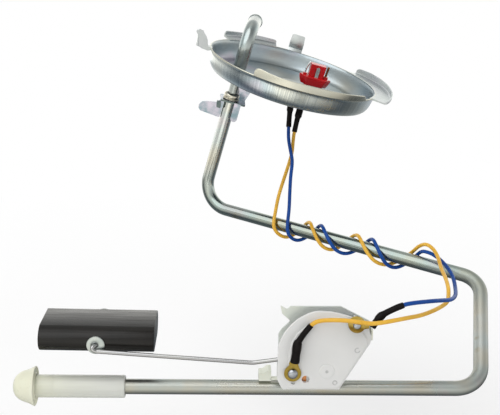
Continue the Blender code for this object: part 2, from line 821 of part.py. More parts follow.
def make_lead_sleeves():
    """The black shrink sleeves at both ends of the leads."""
    black = make_material("shrink_sleeve", BLACK, 0.0, 0.5)
    sleeves = (
        ("blue_sleeve_top", BLUE_TOP_SLEEVE, (1.25, 1.0, 0.95, 1.0), 2.0),
        ("yellow_sleeve_top", YELLOW_TOP_SLEEVE, (1.35, 1.25, 0.95, 1.0), 2.0),
        ("blue_sleeve_end", BLUE_END_SLEEVE + (BLUE_END_TIP,), (1.0, 1.0, 1.3, 1.2, 1.15), 1.9),
    )
    for name, points, radii, radius in sleeves:
        route = smooth_route(points, 4.0)
        shares = [index / (len(route) - 1) * (len(radii) - 1) for index in range(len(route))]
        widths = []
        for share in shares:
            first = min(int(share), len(radii) - 2)
            widths.append(radii[first] + (radii[first + 1] - radii[first]) * (share - first))
        sleeve = make_object(name, rod_mesh(route, radius, 3, widths), black)
        shade(sleeve)
    route = smooth_route(YELLOW_END_SLEEVE, 3.0)
    route += [Vector((-8.9, -198.2, -144.2)), Vector((-10.2, -198.3, -155.3))]
    widths = [1.0] * (len(route) - 2) + [1.45, 1.5]
    sleeve = make_object("yellow_sleeve_end", rod_mesh(route, 1.85, 3, widths), black)
    shade(sleeve)


COVER_OUTLINE = [(-20.1, -147.6), (-18.4, -142.2), (-15.9, -137.7), (-12.8, -133.8), (-8.2, -129.4)]
COVER_OUTLINE += [(-1.2, -125.6), (4.2, -124.6), (11.4, -125.2), (16.4, -126.2), (23.0, -128.2)]
COVER_OUTLINE += [(29.8, -130.9), (33.4, -134.4), (35.8, -140.6), (35.2, -144.8), (17.3, -174.4)]
COVER_OUTLINE += [(-16.6, -174.3), (-18.0, -172.7), (-20.1, -168.2)]
REAR_OUTLINE = [(-19.3, -149.0), (-17.6, -144.8), (-14.9, -140.6), (-11.4, -136.9), (-6.4, -133.2)]
REAR_OUTLINE += [(-0.6, -130.6), (4.6, -129.6), (11.2, -129.8), (16.6, -131.0), (22.4, -134.9)]
REAR_OUTLINE += [(29.0, -136.4), (32.6, -138.4), (35.0, -141.4), (34.6, -144.8), (17.0, -174.0)]
REAR_OUTLINE += [(-16.4, -173.9), (-17.6, -172.5), (-19.3, -168.6)]
PLATEAU = [(-13.4, -150.0), (-12.2, -144.0), (-9.0, -138.2), (-3.4, -133.6), (4.0, -130.8), (11.0, -130.6)]
PLATEAU += [(18.0, -132.6), (24.0, -136.4), (32.0, -143.6), (15.0, -172.6), (-9.6, -172.6), (-13.0, -169.0)]
RIVET_LEFT = (-11.1, -163.2)
SKIRT_TOP_Z = -158.7
RIVET_RIGHT = (25.9, -132.1)
WINDOW = (-3.3, -167.3)


def offset_inward(loop, distance):
    """The outline moved in by a distance, for a loop given clockwise as seen from the front."""
    moved = []
    count = len(loop)
    for index in range(count):
        a = Vector(loop[index - 1])
        b = Vector(loop[index])
        c = Vector(loop[(index + 1) % count])
        first = (b - a).normalized()
        second = (c - b).normalized()
        normal_a = Vector((first.y, -first.x))
        normal_b = Vector((second.y, -second.x))
        middle = (normal_a + normal_b).normalized()
        moved.append(tuple(b + middle * distance / max(0.4, middle.dot(normal_a))))
    return moved


def make_sender_housing():
    """The white front cover: a face with a raised panel, a skirt round the closed sides and the boss."""
    step_y = COVER_FRONT_Y + COVER_STEP
    inside_y = step_y + COVER_WALL
    face = flat_mesh([COVER_OUTLINE], COVER_WALL, upright(step_y, COVER_WALL))
    material = make_material("white_nylon", (0.7, 0.7, 0.69), 0.0, 0.4)
    cover = make_object("sender_housing", face, material)
    panel = flat_mesh([PLATEAU], COVER_STEP + 0.4, upright(COVER_FRONT_Y, COVER_STEP + 0.4))
    inner = offset_inward(COVER_OUTLINE, 1.8)
    skirt_depth = REAR_COVER_FRONT_Y - CLEARANCE - inside_y + 0.4
    closed = COVER_OUTLINE[12:] + [(COVER_OUTLINE[0][0], SKIRT_TOP_Z)]
    closed += [(COVER_OUTLINE[0][0] + 1.8, SKIRT_TOP_Z)] + list(reversed(inner[12:]))
    skirt = flat_mesh([closed], skirt_depth, upright(inside_y - 0.4, skirt_depth))
    along = (0.0, 1.0, 0.0)
    middle = (PIVOT_X, 0.0, PIVOT_Z)
    boss = cylinder_mesh(5.0, middle, along, COVER_FRONT_Y - 0.5, step_y + 0.4, 32)
    stop = upper_stop_place()
    post_back = REAR_COVER_FRONT_Y - CLEARANCE
    post = cylinder_mesh(1.5, (stop[0], 0.0, stop[1]), along, inside_y - 0.4, post_back, 16)
    for index, mesh in enumerate((panel, skirt, boss, post)):
        cut(cover, make_object("cover_piece_%d" % index, mesh, cutter=True), "UNION")
    ahead = COVER_FRONT_Y - 1.0
    sunk = COVER_FRONT_Y + 0.25
    behind = inside_y + 1.0
    holes = (
        (PIVOT_X, PIVOT_Z, PIN_RADIUS + 0.05, COVER_FRONT_Y + 0.5, behind, 32),
        (*RIVET_LEFT, 1.4 + CLEARANCE, ahead, behind, 20),
        (*RIVET_RIGHT, 1.4 + CLEARANCE, ahead, behind, 20),
        (*WINDOW, 2.5, ahead, behind, 20),
        (27.2, -148.9, 1.5, ahead, sunk, 16),
        (14.6, -169.6, 1.6, ahead, sunk, 16),
        (-9.8, -170.2, 1.2, ahead, sunk, 16),
        (PIVOT_X, PIVOT_Z, 0.9, ahead, COVER_FRONT_Y - 0.2, 12),
    )
    for index, (x, z, radius, front, back, sides) in enumerate(holes):
        mesh = cylinder_mesh(radius, (x, 0.0, z), along, front, back, sides)
        cut(cover, make_object("cover_hole_%d" % index, mesh, cutter=True))
    join_cut(cover)
    shade(cover, 30.0)
    return cover


def upper_stop_place():
    """Where the post stands that stops the arm at the end of its travel."""
    angle = math.radians(155.8 - ARM_TRAVEL - 19.2)
    reach = 14.0
    return PIVOT_X + reach * math.cos(angle), PIVOT_Z + reach * math.sin(angle)


def make_rear_cover():
    """The rear cover that closes the sender and carries the resistor card."""
    face = flat_mesh([REAR_OUTLINE], REAR_COVER_WALL, upright(REAR_COVER_FRONT_Y, REAR_COVER_WALL))
    material = make_material("rear_nylon", (0.62, 0.62, 0.6), 0.0, 0.45)
    cover = make_object("rear_cover", face, material)
    bore = cylinder_mesh(
        PIN_RADIUS + 0.05,
        (PIVOT_X, 0.0, PIVOT_Z),
        (0.0, 1.0, 0.0),
        REAR_COVER_FRONT_Y - 1.0,
        REAR_COVER_FRONT_Y + REAR_COVER_WALL - 0.5,
        32,
    )
    cut(cover, make_object("rear_bore", bore, cutter=True))
    ahead = REAR_COVER_FRONT_Y - 1.0
    behind = REAR_COVER_FRONT_Y + REAR_COVER_WALL + 1.0
    hole = cylinder_mesh(1.7, (RIVET_LEFT[0], 0.0, RIVET_LEFT[1]), (0.0, 1.0, 0.0), ahead, behind, 18)
    cut(cover, make_object("rear_hole", hole, cutter=True))
    join_cut(cover)
    shade(cover, 30.0)
    return cover


def band(inner, outer, start, end, steps):
    """An arc-shaped strip about the pivot."""
    pivot = (PIVOT_X, PIVOT_Z)
    return arc(outer, start, end, steps, pivot) + list(reversed(arc(inner, start, end, steps, pivot)))


def make_resistor_card():
    """The curved card and the wire wound on it, which the arm's contact sweeps."""
    back = REAR_COVER_FRONT_Y - CLEARANCE
    card_thickness = 0.7
    board = make_material("card_board", (0.25, 0.14, 0.05), 0.0, 0.6)
    place = upright(back - card_thickness, card_thickness)
    shape = flat_mesh([band(20.3, 26.9, 106.0, 174.6, 16)], card_thickness, place)
    card = make_object("resistor_card", shape, board)
    shade(card, 30.0)
    wire = make_material("resistance_wire", (0.5, 0.36, 0.2), 1.0, 0.35)
    front = back - card_thickness - CLEARANCE
    turns = 26
    sections = []
    for step in range(2 * turns + 1):
        angle = math.radians(108.0 + 64.5 * step / (2 * turns))
        height = 0.4 if step % 2 else 0.22
        section = []
        for reach, y in ((21.0, front), (26.2, front), (26.2, front - height), (21.0, front - height)):
            section.append((PIVOT_X + reach * math.cos(angle), y, PIVOT_Z + reach * math.sin(angle)))
        sections.append(section)
    winding = make_object("resistance_winding", ring_strip(sections), wire)
    shade(winding, 30.0)


def arm_points():
    """The arm wire from the hub, out of the housing, along to the float and back through it."""
    hub = [(PIVOT_X - 3.4, ARM_Y, PIVOT_Z + 2.3), (-4.6, ARM_Y, -156.2), (-12.9, ARM_Y, -155.5)]
    outside = [(-20.4, ARM_Y, -156.7), (-34.8, ARM_Y, -158.7)]
    outside += [(-93.3, ARM_Y, -154.4), (FLOAT_AXIS_X + 2.6, ARM_Y, FLOAT_AXIS_Z - 3.0)]
    float_end = [(FLOAT_AXIS_X, ARM_Y, FLOAT_AXIS_Z), (FLOAT_AXIS_X, float_back_y() + 4.0, FLOAT_AXIS_Z)]
    return hub + outside + float_end


def float_back_y():
    return FLOAT_FRONT_Y + FLOAT_FLAT_DEPTH + 2 * FLOAT_BULGE


def make_arm_wire():
    points = [Vector(point) for point in arm_points()]
    path = []
    path += filleted(points[:3], 4.0, 3)[:-1]
    path += filleted([path[-1]] + points[2:4], 6.0, 2)[1:-1]
    path += filleted([path[-1]] + points[3:5], 8.0, 2)[1:-1]
    path += filleted([path[-1]] + points[4:6], 12.0, 2)[1:-1]
    path += [points[5]]
    bend = ((0.6, 0.0, -2.8), (-1.0, 0.0, -2.1), (-1.7, 0.2, -1.0), (-1.1, 0.8, -0.2), (0.0, 2.2, 0.0))
    path += [Vector((FLOAT_AXIS_X + x, ARM_Y + back, FLOAT_AXIS_Z + z)) for x, back, z in bend]
    path += [points[-1]]
    material = make_material("arm_wire_zinc", (0.66, 0.67, 0.68), 1.0, 0.2)
    wire = make_object("arm_wire", rod_mesh(path, ARM_WIRE_RADIUS, 4), material)
    shade(wire)
    return wire


def make_arm_hub():
    """The nylon hub that turns on the pin and grips the end of the arm wire."""
    front, back = ARM_Y - 2.0, ARM_Y + 2.5
    material = make_material("hub_nylon", (0.1, 0.1, 0.1), 0.0, 0.5)
    hub = make_object(
        "arm_hub",
        cylinder_mesh(HUB_RADIUS, (PIVOT_X, 0.0, PIVOT_Z), (0.0, 1.0, 0.0), front, back, 28),
        material,
    )
    start = Vector((PIVOT_X, 0.0, PIVOT_Z))
    reach = Vector((-3.6, 0.0, -157.15))
    middle = (start + reach) / 2
    length = (reach - start).length
    bar = block_mesh((-length / 2, front, -3.0), (length / 2, back, 3.0))
    angle = math.atan2(reach.z - start.z, reach.x - start.x)
    bar.transform(Matrix.Translation(scaled(middle)) @ Matrix.Rotation(-angle, 4, "Y"))
    cut(hub, make_object("hub_bar", bar, cutter=True), "UNION")
    points = [Vector(point) for point in arm_points()]
    direction = (points[0] - points[1]).normalized()
    channel = filleted([points[0] + direction * 0.4, points[1], points[2]], 4.0, 4)
    groove = rod_mesh(channel, ARM_WIRE_RADIUS + CLEARANCE, 3)
    cut(hub, make_object("hub_groove", groove, cutter=True))
    middle = (PIVOT_X, 0.0, PIVOT_Z)
    bore = cylinder_mesh(PIN_RADIUS + 0.1, middle, (0.0, 1.0, 0.0), front - 1.0, back + 1.0, 24)
    cut(hub, make_object("hub_bore", bore, cutter=True))
    join_cut(hub)
    shade(hub, 30.0)
    return hub


def make_pivot_pin():
    """The headed pin that the arm turns on."""
    front = COVER_FRONT_Y + 0.5 + CLEARANCE
    back = REAR_COVER_FRONT_Y + REAR_COVER_WALL - 0.5 - CLEARANCE
    mesh = cylinder_mesh(PIN_RADIUS, (PIVOT_X, 0.0, PIVOT_Z), (0.0, 1.0, 0.0), front, back, 32)
    pin = make_object("pivot_pin", mesh, make_material("pin_steel", STEEL, 1.0, 0.25))
    shade(pin)
    return pin


def make_wiper():
    """The sprung contact that rides on the hub's back and touches the winding."""
    pivot = Vector((PIVOT_X, 0.0, PIVOT_Z))
    angle = math.radians(170.0)
    out = Vector((math.cos(angle), 0.0, math.sin(angle)))
    side = Vector((-out.z, 0.0, out.x))
    sections = []
    places = ((6.4, 2.8, 1.6), (16.4, 2.8, 1.2), (20.2, 1.03, 0.9), (24.9, 1.08, 0.9))
    for reach, behind, half in places:
        y = ARM_Y + behind
        section = []
        for across, deep in ((-half, 0.0), (half, 0.0), (half, 0.25), (-half, 0.25)):
            point = pivot + out * reach + side * across
            section.append((point.x, y + deep, point.z))
        sections.append(section)
    brass = make_material("contact_brass", BRASS, 1.0, 0.3)
    return make_object("wiper_contact", ring_strip(sections), brass)


def make_sender_bracket():
    """The zinc plate that holds the sender on the tube, with its spur and folded ear."""
    outline = [(-12.4, -124.9), (18.1, -124.9), (35.8, -134.2), (37.2, -136.4), (37.2, -146.0)]
    outline += [(22.0, -170.0)]
    outline += [(22.0, -178.0), (-19.3, -178.0), (-19.3, -142.4), (-17.6, -139.4), (-12.2, -134.0)]
    outline += [(-17.4, -129.4), (-18.4, -124.5), (-14.3, -126.9)]
    material = make_material("bracket_plate_zinc", (0.56, 0.58, 0.55), 1.0, 0.33)
    plate = flat_mesh([outline], BRACKET_SHEET, upright(BRACKET_FRONT_Y, BRACKET_SHEET))
    bracket = make_object("sender_bracket", plate, material)
    ear = block_mesh((36.2, ARM_Y, -144.6), (37.2, BRACKET_FRONT_Y + 0.4, -137.0))
    cut(bracket, make_object("bracket_ear", ear, cutter=True), "UNION")
    for index, (x, z) in enumerate((RIVET_LEFT, RIVET_RIGHT)):
        ahead = BRACKET_FRONT_Y - 1.0
        behind = BRACKET_FRONT_Y + BRACKET_SHEET + 1.0
        hole = cylinder_mesh(1.7, (x, 0.0, z), (0.0, 1.0, 0.0), ahead, behind, 18)
        cut(bracket, make_object("bracket_hole_%d" % index, hole, cutter=True))
    join_cut(bracket)
    shade(bracket, 30.0)
    return bracket


def make_contact_strip():
    """The copper strip behind the front cover, from the left rivet down past the window."""
    front = COVER_FRONT_Y + COVER_STEP + COVER_WALL + CLEARANCE
    outline = [(-14.6, -161.4), (-9.0, -160.9), (-6.2, -163.4), (0.4, -165.4), (1.0, -169.6), (-3.4, -171.4)]
    outline += [(-8.6, -168.2), (-14.2, -166.4)]
    hole = arc(1.4 + CLEARANCE, 0.0, 360.0, 16, RIVET_LEFT)[:-1]
    copper = make_material("strip_copper", (0.5, 0.22, 0.1), 1.0, 0.35)
    strip = make_object("contact_strip", flat_mesh([outline, hole], 0.4, upright(front, 0.4)), copper)
    shade(strip, 30.0)


def make_ring_terminals():
    """The brass ring terminals under the two rivets, each with a tongue into its sleeve."""
    brass = make_material("ring_brass", BRASS, 1.0, 0.35)
    front = COVER_FRONT_Y - CLEARANCE - RING_SHEET
    ring = arc(RING_OUTER, 118.0, 412.0, 30, RIVET_LEFT)
    ring += [(-7.6, -157.2), (-7.9, -155.6), (-12.7, -155.6), (-13.0, -157.2)]
    hole = arc(RING_HOLE, 0.0, 360.0, 24, RIVET_LEFT)[:-1]
    shape = flat_mesh([ring, hole], RING_SHEET, upright(front, RING_SHEET))
    left = make_object("ring_terminal_left", shape, brass)
    shade(left, 30.0)
    ring = arc(RING_OUTER, 18.0, 328.0, 30, (0.0, 0.0))
    ring += [(5.9, -2.6), (7.2, -2.3), (7.5, 0.3), (6.2, 0.9)]
    hole = arc(2.3, 0.0, 360.0, 24, (0.0, 0.0))[:-1]
    turn = Matrix.Rotation(math.radians(90.0), 4, "X")
    lean = Matrix.Rotation(math.radians(-RING_LEAN), 4, "X")
    place = Matrix.Translation(scaled((RIVET_RIGHT[0], COVER_FRONT_Y - 3.4, RIVET_RIGHT[1])))
    shape = flat_mesh([ring, hole], RING_SHEET, place @ lean @ turn)
    right = make_object("ring_terminal_right", shape, brass)
    shade(right, 30.0)


def rivet_mesh(place, head_back, stem, stem_back, head):
    """A domed rivet whose head rests in front of head_back and whose stem reaches stem_back."""
    dome = [(0.0, head * 0.62)]
    for step in range(1, 6):
        angle = math.radians(90.0 - 18.0 * step)
        dome.append((head * math.cos(angle), head * 0.62 * math.sin(angle)))
    dome += [(head, -0.4), (stem, -0.4), (stem, -(stem_back - head_back)), (0.0, -(stem_back - head_back))]
    mesh = turned_mesh(dome, 20)
    turn = Matrix.Rotation(math.radians(90.0), 4, "X")
    mesh.transform(Matrix.Translation(scaled((place[0], head_back, place[1]))) @ turn)
    return mesh


def make_rivets():
    """The two rivets that hold the covers on the bracket and carry the ring terminals."""
    steel = make_material("rivet_steel", (0.75, 0.76, 0.78), 1.0, 0.18)
    front = COVER_FRONT_Y - 2 * CLEARANCE - RING_SHEET - 0.4
    back = BRACKET_FRONT_Y + BRACKET_SHEET
    left = make_object("rivet_left", rivet_mesh(RIVET_LEFT, front, 1.4, back, 3.1), steel)
    shade(left)
    shape = rivet_mesh(RIVET_RIGHT, COVER_FRONT_Y - 5.9, 1.4, back, 2.9)
    right = make_object("rivet_right", shape, steel)
    shade(right)


def make_float():
    """The black float: flat above and below, with rounded front and back, bored for the arm wire."""
    half = FLOAT_HEIGHT / 2
    middle_y = FLOAT_FRONT_Y + FLOAT_BULGE + FLOAT_FLAT_DEPTH / 2
    reach = FLOAT_FLAT_DEPTH / 2
    outline = []
    for step in range(13):
        angle = math.radians(-72.0 + 12.0 * step)
        bulge = (math.cos(angle) - math.cos(math.radians(72.0))) / (1.0 - math.cos(math.radians(72.0)))
        height = math.sin(angle) / math.sin(math.radians(72.0))
        outline.append((reach + FLOAT_BULGE * bulge, half * height))
    outline += [(-x, -z) for x, z in outline]
    length = FLOAT_RIGHT_X - FLOAT_LEFT_X
    stand = Matrix.Rotation(math.radians(90.0), 4, "Z") @ Matrix.Rotation(math.radians(90.0), 4, "X")
    centre = ((FLOAT_LEFT_X + FLOAT_RIGHT_X) / 2, middle_y, FLOAT_MIDDLE_Z)
    lean = Matrix.Rotation(math.radians(FLOAT_LEAN), 4, "Y")
    block = make_object(
        "float",
        flat_mesh([outline], length, Matrix.Translation(scaled(centre)) @ lean @ stand),
        make_material("black_float_foam", (0.02, 0.018, 0.016), 0.0, 0.55),
    )
    middle = (FLOAT_AXIS_X, 0.0, FLOAT_AXIS_Z)
    ahead = FLOAT_FRONT_Y - 10.0
    behind = float_back_y() + 10.0
    bore = cylinder_mesh(ARM_WIRE_RADIUS + 0.05, middle, (0.0, 1.0, 0.0), ahead, behind, 24)
    cut(block, make_object("float_bore", bore, cutter=True))
    join_cut(block)
    shade(block, 25.0)
    return block


def make_float_washers():
    """The washers that keep the float on the wire, one at each end."""
    zinc = make_material("washer_zinc", (0.6, 0.62, 0.6), 1.0, 0.3)
    places = (
        ("float_washer_front", FLOAT_FRONT_Y - CLEARANCE - WASHER_THICKNESS, WASHER_RADIUS),
        ("float_washer_back", float_back_y() + CLEARANCE, BACK_WASHER_RADIUS),
    )
    for name, low, rim in places:
        bore = ARM_WIRE_RADIUS + 0.25
        thick = WASHER_THICKNESS
        profile = [(bore, 0.0), (rim - 0.2, 0.0), (rim, -0.2), (rim, -thick + 0.2)]
        profile += [(rim - 0.2, -thick), (bore, -thick)]
        mesh = turned_mesh(profile, 24, True)
        turn = Matrix.Rotation(math.radians(90.0), 4, "X")
        mesh.transform(Matrix.Translation(scaled((FLOAT_AXIS_X, low, FLOAT_AXIS_Z))) @ turn)
        washer = make_object(name, mesh, zinc)
        shade(washer)


def along_run(mesh, x):
    """Turns a shape made about Z so that it lies on the lower run, with its top end to the left."""
    turn = Matrix.Rotation(math.radians(-90.0) + math.atan(RUN_FALL), 4, "Y")
    mesh.transform(Matrix.Translation(scaled((x, RUN_Y, run_height(x)))) @ turn)
    return mesh


def make_pickup_sleeve():
    """The nylon sleeve pushed over the end of the tube."""
    bore = TUBE_RADIUS + CLEARANCE
    end = SLEEVE_RIGHT_X - SLEEVE_LEFT_X
    wide = SLEEVE_RADIUS
    profile = [(bore, end), (wide - 0.4, end), (wide, end - 0.4), (wide, 2.0), (wide - 0.1, 0.6)]
    profile += [(wide - 0.5, 0.0), (bore + 0.7, 0.0), (bore, 0.8)]
    mesh = along_run(turned_mesh(profile, 28, True), SLEEVE_RIGHT_X)
    sleeve = make_object("pickup_sleeve", mesh, make_material("cream_nylon", (0.75, 0.74, 0.66), 0.0, 0.4))
    shade(sleeve)
    return sleeve


def make_pickup_head():
    """The domed head of the pickup: hollow, with a thin flared rim and a socket over the sleeve's end."""
    socket = SLEEVE_RADIUS + CLEARANCE
    outer = [(0.0, 13.2), (3.2, 13.1), (5.0, 12.7), (6.8, 11.9), (8.3, 10.7), (9.3, 9.2), (10.0, 7.2)]
    outer += [(10.5, 5.0), (11.1, 2.8), (11.9, 0.9), (12.2, -0.1)]
    inner = [(11.6, -0.5), (10.9, 0.2), (socket + 1.4, 0.2), (socket + 1.1, -0.9), (socket, -0.9)]
    inner += [(socket, 7.6), (6.0, 9.4), (0.0, 11.4)]
    mesh = along_run(turned_mesh(outer + inner, 28), HEAD_RIM_X)
    head = make_object("pickup_head", mesh, make_material("head_nylon", (0.78, 0.76, 0.66), 0.0, 0.42))
    shade(head)
    return head


def make_run_clip():
    """The white nylon clip on the lower run, with its thin shelf behind the sender's bracket."""
    x0, x1 = -30.8, -23.2
    front = -182.8
    body = make_material("clip_nylon", (0.8, 0.82, 0.8), 0.0, 0.4)
    outline = [(x0, -173.6), (x0, -169.0), (x0 + 2.4, -168.8), (x1 - 2.1, -166.7)]
    outline += [(x1, -166.7), (x1, -173.6)]
    face = flat_mesh([outline], 9.2, upright(front, 9.2))
    clip = make_object("run_clip", face, body)
    foot = block_mesh((x0, -178.4, -177.0), (x1, front + 9.2, -173.0))
    shelf = block_mesh((x1 - 0.6, front, -172.9), (-14.0, front + 3.0, -171.8))
    for index, mesh in enumerate((foot, shelf)):
        cut(clip, make_object("clip_piece_%d" % index, mesh, cutter=True), "UNION")
    middle = (0.0, RUN_Y, run_height((x0 + x1) / 2))
    saddle = cylinder_mesh(TUBE_RADIUS + CLEARANCE, middle, (1.0, 0.0, 0.0), x0 - 2.0, x1 + 2.0, 36)
    cut(clip, make_object("clip_saddle", saddle, cutter=True))
    join_cut(clip)
    return clip


make_flange()
make_outlet_tube()
make_tube_collar()
make_pickup_tube()
make_tube_bracket()
make_connector()
make_terminals()
make_leads()
make_lead_sleeves()
make_sender_housing()
make_rear_cover()
make_resistor_card()
make_arm_wire()
make_arm_hub()
make_pivot_pin()
make_wiper()
make_sender_bracket()
make_contact_strip()
make_ring_terminals()
make_rivets()
make_float()
make_float_washers()
make_pickup_sleeve()
make_pickup_head()
make_run_clip()
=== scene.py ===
"""Looks of the fuel level sender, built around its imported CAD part."""
import math

import bmesh
import bpy
from mathutils import Euler, Matrix, Vector, noise


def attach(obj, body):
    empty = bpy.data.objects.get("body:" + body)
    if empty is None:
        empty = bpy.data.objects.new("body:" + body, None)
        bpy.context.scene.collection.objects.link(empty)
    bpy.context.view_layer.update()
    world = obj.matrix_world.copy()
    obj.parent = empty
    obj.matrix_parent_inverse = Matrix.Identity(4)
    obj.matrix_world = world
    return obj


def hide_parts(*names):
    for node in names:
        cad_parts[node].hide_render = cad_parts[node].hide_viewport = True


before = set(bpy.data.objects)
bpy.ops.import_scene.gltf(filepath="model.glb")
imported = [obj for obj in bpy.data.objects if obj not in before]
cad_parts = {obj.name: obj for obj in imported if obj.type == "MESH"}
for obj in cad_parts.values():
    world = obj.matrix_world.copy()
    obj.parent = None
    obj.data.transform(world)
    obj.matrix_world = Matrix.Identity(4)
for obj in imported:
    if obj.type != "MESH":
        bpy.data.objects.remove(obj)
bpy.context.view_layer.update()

MM = 0.001
WELD = 0.000002
EVEN = (1.0, 1.0, 1.0)
WHITE = (1.0, 1.0, 1.0, 1.0)

# The flange's own axes, with the origin at the centre of its rim plane
FLANGE = Euler((math.radians(8.0), math.radians(15.0), 0.0), "ZYX").to_matrix().to_4x4()
# Stands an outline that is drawn in X and Y upright, to face the viewer
UPRIGHT = Matrix.Rotation(math.radians(90.0), 4, "X")
TUBE_X, TUBE_Y = -39.5, -4.0
TUBE_RADIUS = 4.765
RUN_Y, RUN_Z, RUN_SLOPE = -178.0, -180.0, 0.0078
PIVOT = (9.5, -162.4)
COVER_Y = -195.0
PLATE_Y, PLATE_THICKNESS = -184.6, 1.5
ARM_Y = -190.0
AXIS_X, AXIS_Z = -129.4, -148.6
FLOAT_FRONT = -186.4
LEAD_RADIUS = 1.3


def scaled(point):
    return Vector(point) * MM


def shift(x=0.0, y=0.0, z=0.0):
    return Matrix.Translation(scaled((x, y, z)))


def flange_point(x, y, z):
    return FLANGE.to_3x3() @ Vector((x, y, z))


def placed(name, data):
    """A new object in the scene."""
    item = bpy.data.objects.new(name, data)
    bpy.context.scene.collection.objects.link(item)
    return item


def make_camera():
    """The photograph's viewpoint, fitted to the tube's width along its runs and to the round rim."""
    data = bpy.data.cameras.new("camera")
    data.lens = 72.0
    data.sensor_width = 36.0
    data.clip_start = 0.01
    data.clip_end = 20.0
    item = placed("camera", data)
    right = Vector((0.999542, -0.028235, 0.010813)).normalized()
    ahead = Vector((0.029998, 0.972486, -0.231018)).normalized()
    up = right.cross(ahead).normalized()
    ahead = up.cross(right).normalized()
    matrix = Matrix((right, up, -ahead)).transposed().to_4x4()
    matrix.translation = scaled((-54.99, -754.57, 71.57))
    item.matrix_world = matrix
    bpy.context.scene.camera = item


make_camera()


# Materials
def new_material(name):
    material = bpy.data.materials.new(name)
    material.use_nodes = True
    return material, material.node_tree, material.node_tree.nodes["Principled BSDF"]


def feed(tree, node, inputs):
    """Gives a node's inputs plain values, or joins them to the outputs of other nodes."""
    for key, value in inputs.items():
        if isinstance(value, bpy.types.NodeSocket):
            tree.links.new(value, node.inputs[key])
        else:
            node.inputs[key].default_value = value


def add(tree, kind, inputs=None, **settings):
    node = tree.nodes.new(kind)
    for key, value in settings.items():
        setattr(node, key, value)
    feed(tree, node, inputs or {})
    return node


def maths(tree, operation, *values):
    return add(tree, "ShaderNodeMath", dict(enumerate(values)), operation=operation).outputs[0]


def measure(tree, operation, *values):
    return add(tree, "ShaderNodeVectorMath", dict(enumerate(values)), operation=operation).outputs["Value"]


def own_place(tree):
    return add(tree, "ShaderNodeTexCoord").outputs["Object"]


def axes(tree, source):
    return add(tree, "ShaderNodeSeparateXYZ", {0: source}).outputs


def cloud(tree, scale, detail=3.0, stretch=EVEN):
    """A noise pattern in the part's own coordinates, with scale in features per metre."""
    place = add(tree, "ShaderNodeMapping", {"Vector": own_place(tree), "Scale": stretch}).outputs["Vector"]
    inputs = {"Vector": place, "Scale": scale, "Detail": detail, "Roughness": 0.55}
    return add(tree, "ShaderNodeTexNoise", inputs).outputs["Fac"]


def ramp(tree, source, stops):
    """Colours, or plain greys where a stop holds one number, along a value."""
    node = add(tree, "ShaderNodeValToRGB", {"Fac": source})
    elements = node.color_ramp.elements
    while len(elements) < len(stops):
        elements.new(0.5)
    for element, (place, colour) in zip(elements, stops):
        element.position = place
        element.color = (*colour, 1.0) if isinstance(colour, tuple) else (colour, colour, colour, 1.0)
    return node.outputs["Color"]


def spread(tree, source, low, high, start=0.3, end=0.7):
    inputs = {"Value": source, "From Min": start, "From Max": end, "To Min": low, "To Max": high}
    return add(tree, "ShaderNodeMapRange", inputs).outputs["Result"]


def blend(tree, first, second, factor=1.0, kind="MULTIPLY"):
    inputs = {"Factor": factor, 6: first, 7: second}
    return add(tree, "ShaderNodeMix", inputs, data_type="RGBA", blend_type=kind).outputs[2]


def either(tree, choice, first, second):
    """The first shader where the choice is 0, and the second where it is 1."""
    return add(tree, "ShaderNodeMixShader", {0: choice, 1: first, 2: second}).outputs[0]


def relief(tree, shader, source, strength, distance):
    bump = add(tree, "ShaderNodeBump", {"Strength": strength, "Distance": distance, "Height": source})
    feed(tree, shader, {"Normal": bump.outputs["Normal"]})


def metal(name, stops, rough, scale=28.0, grain=900.0, depth=0.000002, wave=0.0, metallic=1.0):
    """Plated metal: slow shifts of tint, a finer cloud in its gloss, slight waves and a fine rolled grain."""
    material, tree, shader = new_material(name)
    feed(tree, shader, {
        "Base Color": ramp(tree, cloud(tree, scale, 4.0), stops),
        "Metallic": metallic,
        "Roughness": spread(tree, cloud(tree, grain * 0.2), *rough),
    })
    height = cloud(tree, grain, 2.0)
    if wave:
        height = maths(tree, "MULTIPLY_ADD", cloud(tree, 70.0, 1.0), wave, height)
    relief(tree, shader, height, 0.15, depth)
    return material


def plastic(name, first, second, rough, scale=60.0, grain=1600.0, depth=0.00001, strength=0.2, soft=0.0,
            coat=0.0, shine=0.5, stretch=EVEN):
    """Moulded plastic or rubber: slight unevenness in its colour and gloss, and a fine surface grain."""
    material, tree, shader = new_material(name)
    feed(tree, shader, {
        "Base Color": ramp(tree, cloud(tree, scale), ((0.35, first), (0.7, second))),
        "Roughness": spread(tree, cloud(tree, grain * 0.25, 2.0, stretch), *rough),
        "Specular IOR Level": shine,
    })
    relief(tree, shader, cloud(tree, grain, 2.0, stretch), strength, depth)
    if soft:
        soften(tree, shader, soft, (1.0, 0.9, 0.8))
    if coat:
        feed(tree, shader, {"Coat Weight": coat, "Coat Roughness": 0.12})
    return material


def soften(tree, shader, weight, radius):
    """Lets light pass a short way into a pale plastic."""
    feed(tree, shader, {"Subsurface Weight": weight, "Subsurface Radius": radius, "Subsurface Scale": 0.002})


